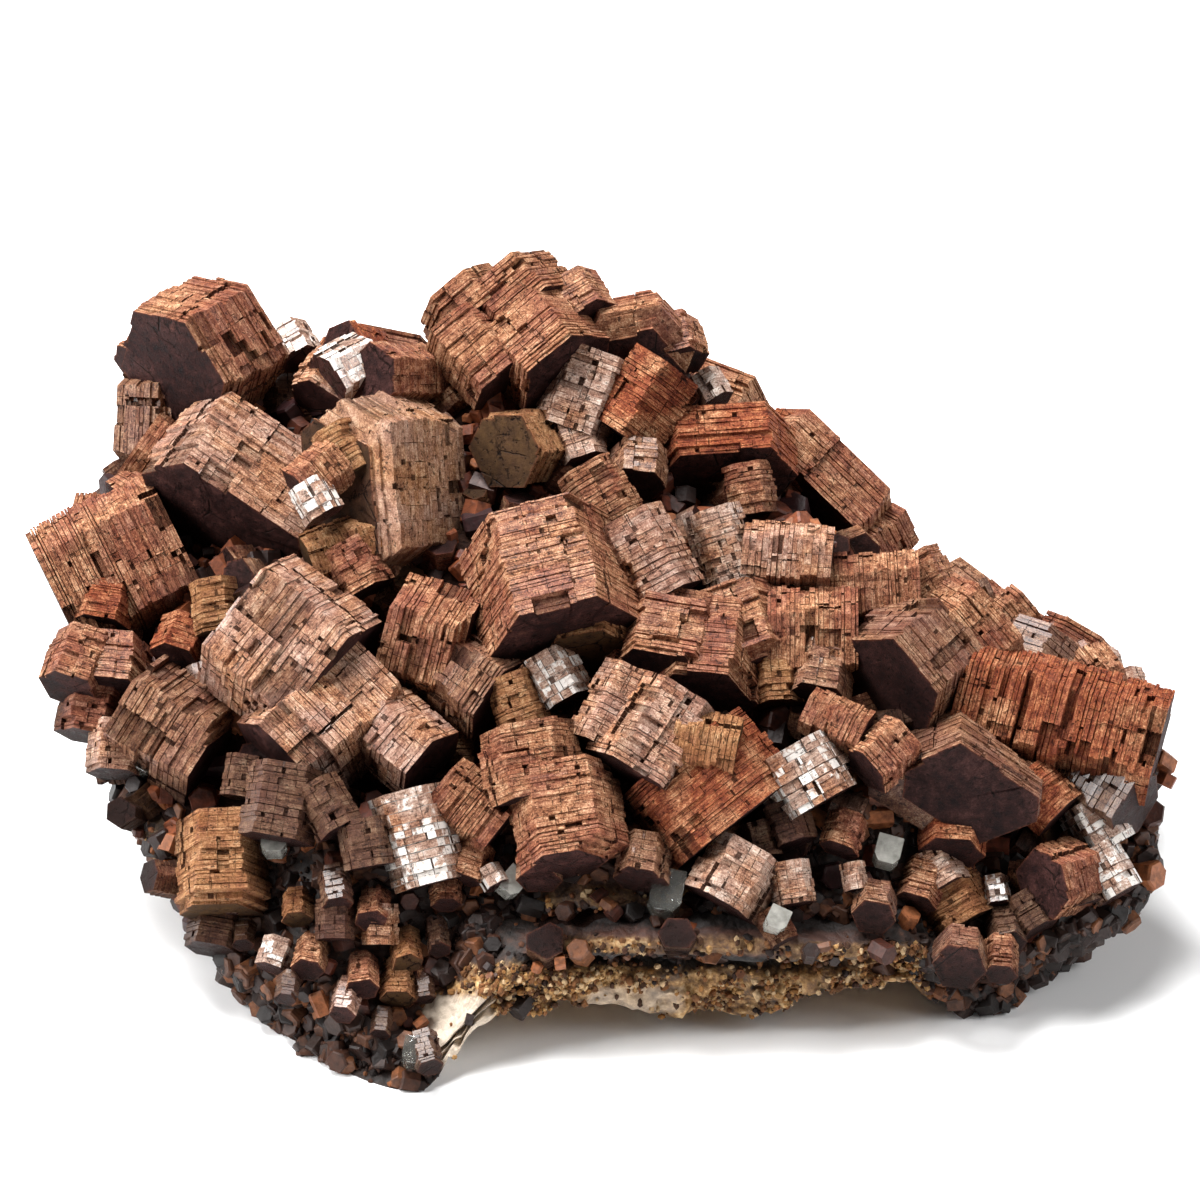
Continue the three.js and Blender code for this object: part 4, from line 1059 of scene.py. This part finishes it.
def rock_finish():
    """Near-black brown rock, with ochre crust, cream patch and rusty bloom by the stain attribute, and
    painted shade in the hollows between the front ledges.
    """
    f = Finish("dark_rock")
    place = f.place()
    ochre, cream, bloom = f.parts(f.read("stain", 0))
    hollow = f.read("hollow")
    coarse = f.noise(place, 260.0, 5.0, 0.6)
    fine = f.noise(place, 1300.0, 4.0, 0.65)
    cells = f.add("ShaderNodeTexVoronoi", {"feature": "F1"}, {"Vector": place, "Scale": 1100.0})
    body = f.ramp((coarse - 0.5) * 1.2 + (fine - 0.5) * 1.6 + 0.4,
                  (0.0, "0c0806"), (0.4, "241812"), (0.7, "412a1f"), (1.0, "6d4a32"))
    crust = f.ramp((coarse - 0.5) * 1.0 + (fine - 0.5) * 2.2 + 0.5,
                   (0.0, "2c1b0f"), (0.35, "7a5630"), (0.65, "ad8450"), (1.0, "d9bb8c"))
    chalk = f.ramp(fine, (0.0, "8a7866"), (0.6, "c9b9a6"), (1.0, "e8dfd2"))
    colour = f.mix((bloom * (0.2 + coarse)).clamp(), body, "4f281a")
    colour = f.mix((ochre * (0.7 + (coarse - 0.4) * 2.0)).clamp(), colour, crust)
    colour = f.mix(cream, colour, chalk)
    # Painted shade: near-black in the hollows between the front ledges.
    colour = f.mix((hollow * 0.9).clamp(), colour, "0e0907")
    height = coarse * 0.8 + fine * 0.6 - cells * 0.5
    bump = f.bump(height, 0.8, 0.0005)
    return f.end(Base_Color=colour, Roughness=0.55 + fine * 0.35, Normal=bump)


def druse_finish(name, shine):
    """Tiny crystals and crumbs on the rock: the tint attribute, darkened by fine noise, glossy or dull."""
    f = Finish(name)
    place = f.place()
    tint = f.read("tint", 0)
    fine = f.noise(place, 1500.0, 3.0, 0.6)
    colour = f.mix((fine * 1.6 - 0.4).clamp(), tint, "140d0b")
    bump = f.bump(fine, 0.5, 0.0002)
    return f.end(Base_Color=colour, Roughness=0.8 - shine + fine * 0.3, Normal=bump, IOR=CRUMB_IOR)


def anglesite_finish(name, clearness):
    """Clear to milky crystals: plain transmission and absorption, with fine flaws in the bump."""
    f = Finish(name)
    place = f.place()
    fine = f.noise(place, 900.0, 4.0, 0.6)
    colour = f.mix((fine * 2.0 - 0.5).clamp(), "d6d4cb", "8c8a82")
    bump = f.bump(fine, 0.5, 0.0003)
    f.end(Base_Color=colour, Roughness=0.02 + fine * 0.1, Normal=bump, IOR=ANGLESITE_IOR,
          Transmission_Weight=clearness)
    murk = f.add("ShaderNodeVolumeAbsorption", {}, {"Color": "c8d2cf", "Density": MURK_DENSITY})
    f.tree.links.new(murk.socket, f.output.inputs["Volume"])
    return f.material


def floor_finish():
    """Plain pale studio floor."""
    f = Finish("studio_floor")
    place = f.place()
    fine = f.noise(place, 30.0, 2.0, 0.5)
    colour = f.mix(fine, "f4f4f4", "f8f8f8")
    return f.end(Base_Color=colour, Roughness=0.9)


VANADINITE = vanadinite_finish()
ROCK = rock_finish()
DRUSE = druse_finish("tiny_crystals", 0.45)
CRUMB = druse_finish("rock_crumbs", 0.1)
CLEAR = anglesite_finish("clear_anglesite", 0.9)
MILKY = anglesite_finish("milky_anglesite", 0.5)

# The crystals of the photograph, in one piece for each part of it.
for name, rows, seed in (("crystals_back_left", BACK_LEFT, 1000), ("crystals_crown", CROWN, 2000),
                         ("crystals_right", RIGHT_SIDE, 3000), ("crystals_front", FRONT, 4000)):
    growth = Growth()
    for index, row in enumerate(rows):
        dice = np.random.default_rng(seed + index)
        photo_crystal(growth, row, dice, terrace=row[4] > TERRACE_WIDTH and index % 3 == 1)
    crystal_piece(name, growth)

# How many small crystals there are: at the shoulder and between the large ones, plated; in the gaps, plain.
SHOULDER_COUNT = 90
RUBBLE_COUNT = 240
GAP_COUNT = 1500
growth = Growth()
for index, row in enumerate(FAR_SIDE):
    far_crystal(growth, row, np.random.default_rng(5000 + index))
far_small(growth, SHOULDER_COUNT, np.random.default_rng(5500))
crystal_piece("crystals_far_side", growth)

growth = Growth()
rubble(growth, RUBBLE_COUNT, np.random.default_rng(6000))
base_points, base_triangles = closed_rings(base_rings())
n = len(base_triangles)
# The base gets full depth, so the finish paints it near-black as shade between the crystals.
growth.add(base_points, base_triangles, "plum", grown=base_points, rim=np.zeros(len(base_points)),
           tone=np.full(n, 0.3), recess=np.ones(n), cap=np.zeros(n))
crystal_piece("crystal_rubble", growth)

growth = Growth()
for index, row in enumerate(ON_ROCK):
    row = row[:4] + (row[4] * ON_ROCK_SIZE, row[5] * ON_ROCK_SIZE) + row[6:]
    photo_crystal(growth, row, np.random.default_rng(7000 + index), simple=True, coarse=0.7)
crystal_piece("crystals_on_rock", growth, "matrix")

# The rock.
rings = rock_rings()
rock_points, rock_triangles = closed_rings(rings)
rock = triangle_object("rock_body", rock_points, rock_triangles)


# Ochre crust and cream patches in the photograph: pixel x from and to, y from and to, soft edge, and share.
OCHRE_BOXES = [(470, 790, 968, 1030, 8, 1), (780, 925, 948, 1000, 8, 0.9), (430, 500, 985, 1012, 8, 1),
               (530, 690, 888, 905, 5, 0.6), (540, 790, 940, 952, 4, 0.55), (150, 240, 780, 900, 30, 0.4)]
CREAM_BOXES = [(428, 490, 1000, 1060, 8, 1), (590, 680, 990, 1010, 5, 0.5)]


def stains(points):
    """Shares of ochre, cream and rust at each point: boxes of the photograph, broken up by noise."""
    front = points[:, 1] < FRONT_LINE
    broken = 0.75 + 0.5 * noise(points, 2.5, 32)
    band = np.max([patch(points, *box) * share for *box, share in OCHRE_BOXES], 0)
    foot = smooth((2.5 - points[:, 2]) / 2.5) * 0.6 * (noise(points, 6.0, 30) > 0) * ~front
    ochre = np.clip(np.maximum(band * front * broken, foot), 0, 1)
    cream = np.max([patch(points, *box) * share for *box, share in CREAM_BOXES], 0) * front
    rust = np.clip(0.1 + 0.6 * noise(points, 7.0, 31) + 0.3 * patch(points, 520, 790, 928, 955, 6), 0, 1)
    return np.column_stack([ochre, cream, rust, np.ones(len(points))])


attribute(rock, "stain", stains(rock_points))
ledge_out, ledge_mask = front_ledges(rock_points)
# Painted shade between the front ledges: full where the wall stands in, none where a ledge stands out.
attribute(rock, "hollow", smooth((0.2 - ledge_out) / 1.2) * ledge_mask)
dress(rock, ROCK, "matrix", flat=False)

# Tiny crystals and crumbs over the rock's sides, the edge of its top, and the top in front of the bare line.
EDGE_ROWS = 20
BARE_LINE = -14
dice = np.random.default_rng(8000)
skin = rings[FOOT_ROWS + 1:]
skin_out = np.concatenate([unit(skin[:, :, :2] - ROCK_MIDDLE), np.full(skin.shape[:2] + (1,), 0.35)], 2)
on_side = np.arange(len(skin))[:, None] < SIDE_ROWS + EDGE_ROWS
shown = np.broadcast_to(on_side | (skin[:, :, 1] < BARE_LINE), skin.shape[:2]).ravel()
skin, skin_out = skin.reshape(-1, 3)[shown], skin_out.reshape(-1, 3)[shown]
BROWNS, RUSTS, OCHRES = (np.array([linear(code) for code in codes.split()]) for codes in (
    "231611 35231b 4a2d20 18100d 5a3826 2c1b16 7a4a2c", "4a2418 6b3422 8a4a2c 35191a a3623c 2a1712 5a2c1c",
    "7a4f2c 9c6c3a b98d58 4d301b cfae84 8a5a34"))


def tints(points, each, ochre_share):
    """A colour per face: brown or, where the rock is ochre or cream, by a given share one of the ochres."""
    browns = BROWNS[dice.integers(len(BROWNS), size=len(points))]
    ochres = OCHRES[dice.integers(len(OCHRES), size=len(points))]
    share = stains(points)
    pale = dice.random(len(points)) < np.maximum(share[:, 0] * 1.5, share[:, 1]) * ochre_share
    return np.repeat(np.where(pale[:, None], ochres, browns), each, 0)


def scattered(name, points, triangles, tint, finish, node="matrix"):
    """One object of many small pieces, with a colour for each face."""
    piece = triangle_object(name, points, triangles)
    attribute(piece, "tint", tint)
    dress(piece, finish, node)


gaps = gap_places(GAP_COUNT, dice)
gap_ways = dice.normal(size=gaps.shape) * 0.6 + (0, 0, 0.7)
gap_sizes = 1.0 + 2.2 * dice.random(len(gaps)) ** 1.5
gap_points, gap_triangles, each = tiny_crystals(gaps, gap_ways, gap_sizes, dice)
gap_tints = RUSTS[dice.integers(len(RUSTS), size=len(gaps))]
scattered("gap_crystals", gap_points, gap_triangles, np.repeat(gap_tints, each, 0), DRUSE,
          "vanadinite_crystals")

# Tries and most pieces of the tiny crystals and of the crumbs; tries of the ochre crumbs; faces of a crumb.
TINY_COUNTS = (9000, 5200)
CRUMB_COUNTS = (8500, 6400)
OCHRE_TRIES = 2600
CRUMB_FACES = 20


def rock_places(tries, most, bareness):
    """Points of the rock's skin and their outward ways: random ones, kept where a die from 0 to 1 falls
    above the bareness there, up to the most that are wanted."""
    picks = dice.choice(len(skin), tries, replace=False)
    share = bareness(skin[picks])
    picks = picks[dice.random(tries) > share][:most]
    return skin[picks], skin_out[picks]


def bare_of_crystals(spots):
    """1 where no tiny crystals grow: on the front ledges, on ochre and cream, and in patches of noise."""
    share = stains(spots)
    ledged = np.maximum(patch(spots, 500, 900, 925, 1030, 10), patch(spots, 520, 700, 885, 930, 8) * 0.8)
    bare = np.maximum(share[:, 0] * 1.3, share[:, 1] * 2)
    bare = np.maximum(bare, ledged * (spots[:, 1] < FRONT_LINE) * 0.97)
    patchy = smooth(noise(spots, 7.0, 50) * 2.2 + 0.9)
    return np.maximum(bare, (1 - patchy) * 0.85)


def bare_of_crumbs(spots):
    """1 where no crumbs lie: most of the cream patch, and part of the front ledges."""
    front = patch(spots, 500, 900, 925, 1030, 10) * (spots[:, 1] < FRONT_LINE)
    return np.maximum(front * 0.6, stains(spots)[:, 1] * 0.97)


spots, outs = rock_places(*TINY_COUNTS, bare_of_crystals)
sizes = 0.6 + 1.8 * dice.random(len(spots)) ** 2
tiny_points, tiny_triangles, each = tiny_crystals(spots, outs, sizes, dice)
scattered("tiny_crystals", tiny_points, tiny_triangles, tints(spots, each, 0.0), DRUSE)

spots, outs = rock_places(*CRUMB_COUNTS, bare_of_crumbs)
sizes = dice.uniform(0.3, 1.0, len(spots))
crumb_points, crumb_triangles = crumbs(spots + outs * 0.1, sizes, dice)
scattered("rock_crumbs", crumb_points, crumb_triangles, tints(spots, CRUMB_FACES, 1.0), CRUMB)

share = stains(skin)
crusty = np.flatnonzero((share[:, 0] > 0.35) & (share[:, 1] < 0.2) & (skin[:, 1] < FRONT_LINE))
spots = skin[dice.choice(crusty, OCHRE_TRIES, replace=False)] + dice.uniform(-0.25, 0.25, (OCHRE_TRIES, 3))
spots = spots[noise(spots, 2.0, 51) > -0.25]
crumb_points, crumb_triangles = crumbs(spots, 0.2 + 0.7 * dice.random(len(spots)) ** 1.5, dice)
scattered("ochre_crumbs", crumb_points, crumb_triangles, tints(spots, CRUMB_FACES, 1.0), CRUMB)

# Anglesite.
for index, (photo_x, photo_y, long, broad, thick, turn) in enumerate(ANGLESITE):
    axis, side = photo_frame(turn + 90, 25)
    third = np.cross(axis, side)
    middle = land_on_relief(photo_x, photo_y, -axis * long / 2, -1)
    w, t, half = broad / 2, thick / 2, long / 2
    corner = np.array([(w, -t), (w, t), (-w, t), (-w, -t)])
    ring_rows = []
    for place, share, thin in ((-half, 0.96, 0.96), (-half * 0.9, 1, 1), (half - broad * 0.3, 1, 1),
                               (half * 0.98, 0.6, 0.97), (half, 0.5, 0.9)):
        uv = corner * (share, thin)
        ring_rows.append(middle + uv[:, :1] * side + uv[:, 1:] * third + place * axis)
    points, triangles = closed_rings(np.array(ring_rows))
    clear = triangle_object(f"clear_crystal_{index + 1}", points, triangles)
    dress(clear, MILKY if index in MILKY_ONES else CLEAR, f"anglesite_{index + 1}")

# Studio.
FLOOR_HALF = 2500.0
WORLD_STRENGTH = 0.12
floor_corners = np.array([(-1, -1, 0), (1, -1, 0), (1, 1, 0), (-1, 1, 0)]) * FLOOR_HALF
floor = triangle_object("studio_floor", floor_corners, np.array([(0, 1, 2), (0, 2, 3)]))
floor.data.materials.append(floor_finish())

lens = SENSOR * VIEW_DISTANCE / (2 * PHOTO_MIDDLE * MM_PER_PIXEL)
camera_data = bpy.data.cameras.new("view")
camera_data.sensor_width = SENSOR
camera_data.lens = lens
camera_data.clip_start = 0.01
camera_data.clip_end = 20
camera = bpy.data.objects.new("view", camera_data)
camera.location = EYE * MM
camera.rotation_euler = (math.radians(90 - VIEW_ELEVATION), 0, 0)
bpy.context.scene.collection.objects.link(camera)
bpy.context.scene.camera = camera


def soft_light(name, place, aim, size, power):
    """A square area light at a place in metres, turned to the aim."""
    data = bpy.data.lights.new(name, "AREA")
    data.size = size
    data.energy = power
    lamp = bpy.data.objects.new(name, data)
    lamp.location = place
    way = np.array(aim) - np.array(place)
    flat = math.hypot(way[0], way[1])
    lamp.rotation_euler = (math.atan2(flat, -way[2]), 0, math.atan2(way[0], -way[1]) + math.pi)
    bpy.context.scene.collection.objects.link(lamp)


# Name, place, aim, size and power in watts.
soft_light("overhead", (-0.22, 0.25, 0.9), (0, 0, 0), 0.5, 22)
soft_light("left", (-0.85, -0.15, 0.6), (0, 0, 0.02), 0.4, 13)
soft_light("right", (0.85, -0.2, 0.6), (0, 0, 0.02), 0.6, 6)

world = bpy.data.worlds.new("studio")
world.use_nodes = True
world.node_tree.nodes["Background"].inputs["Color"].default_value = (1, 1, 1, 1)
world.node_tree.nodes["Background"].inputs["Strength"].default_value = WORLD_STRENGTH
bpy.context.scene.world = world
bpy.context.scene.view_settings.view_transform = "Standard"
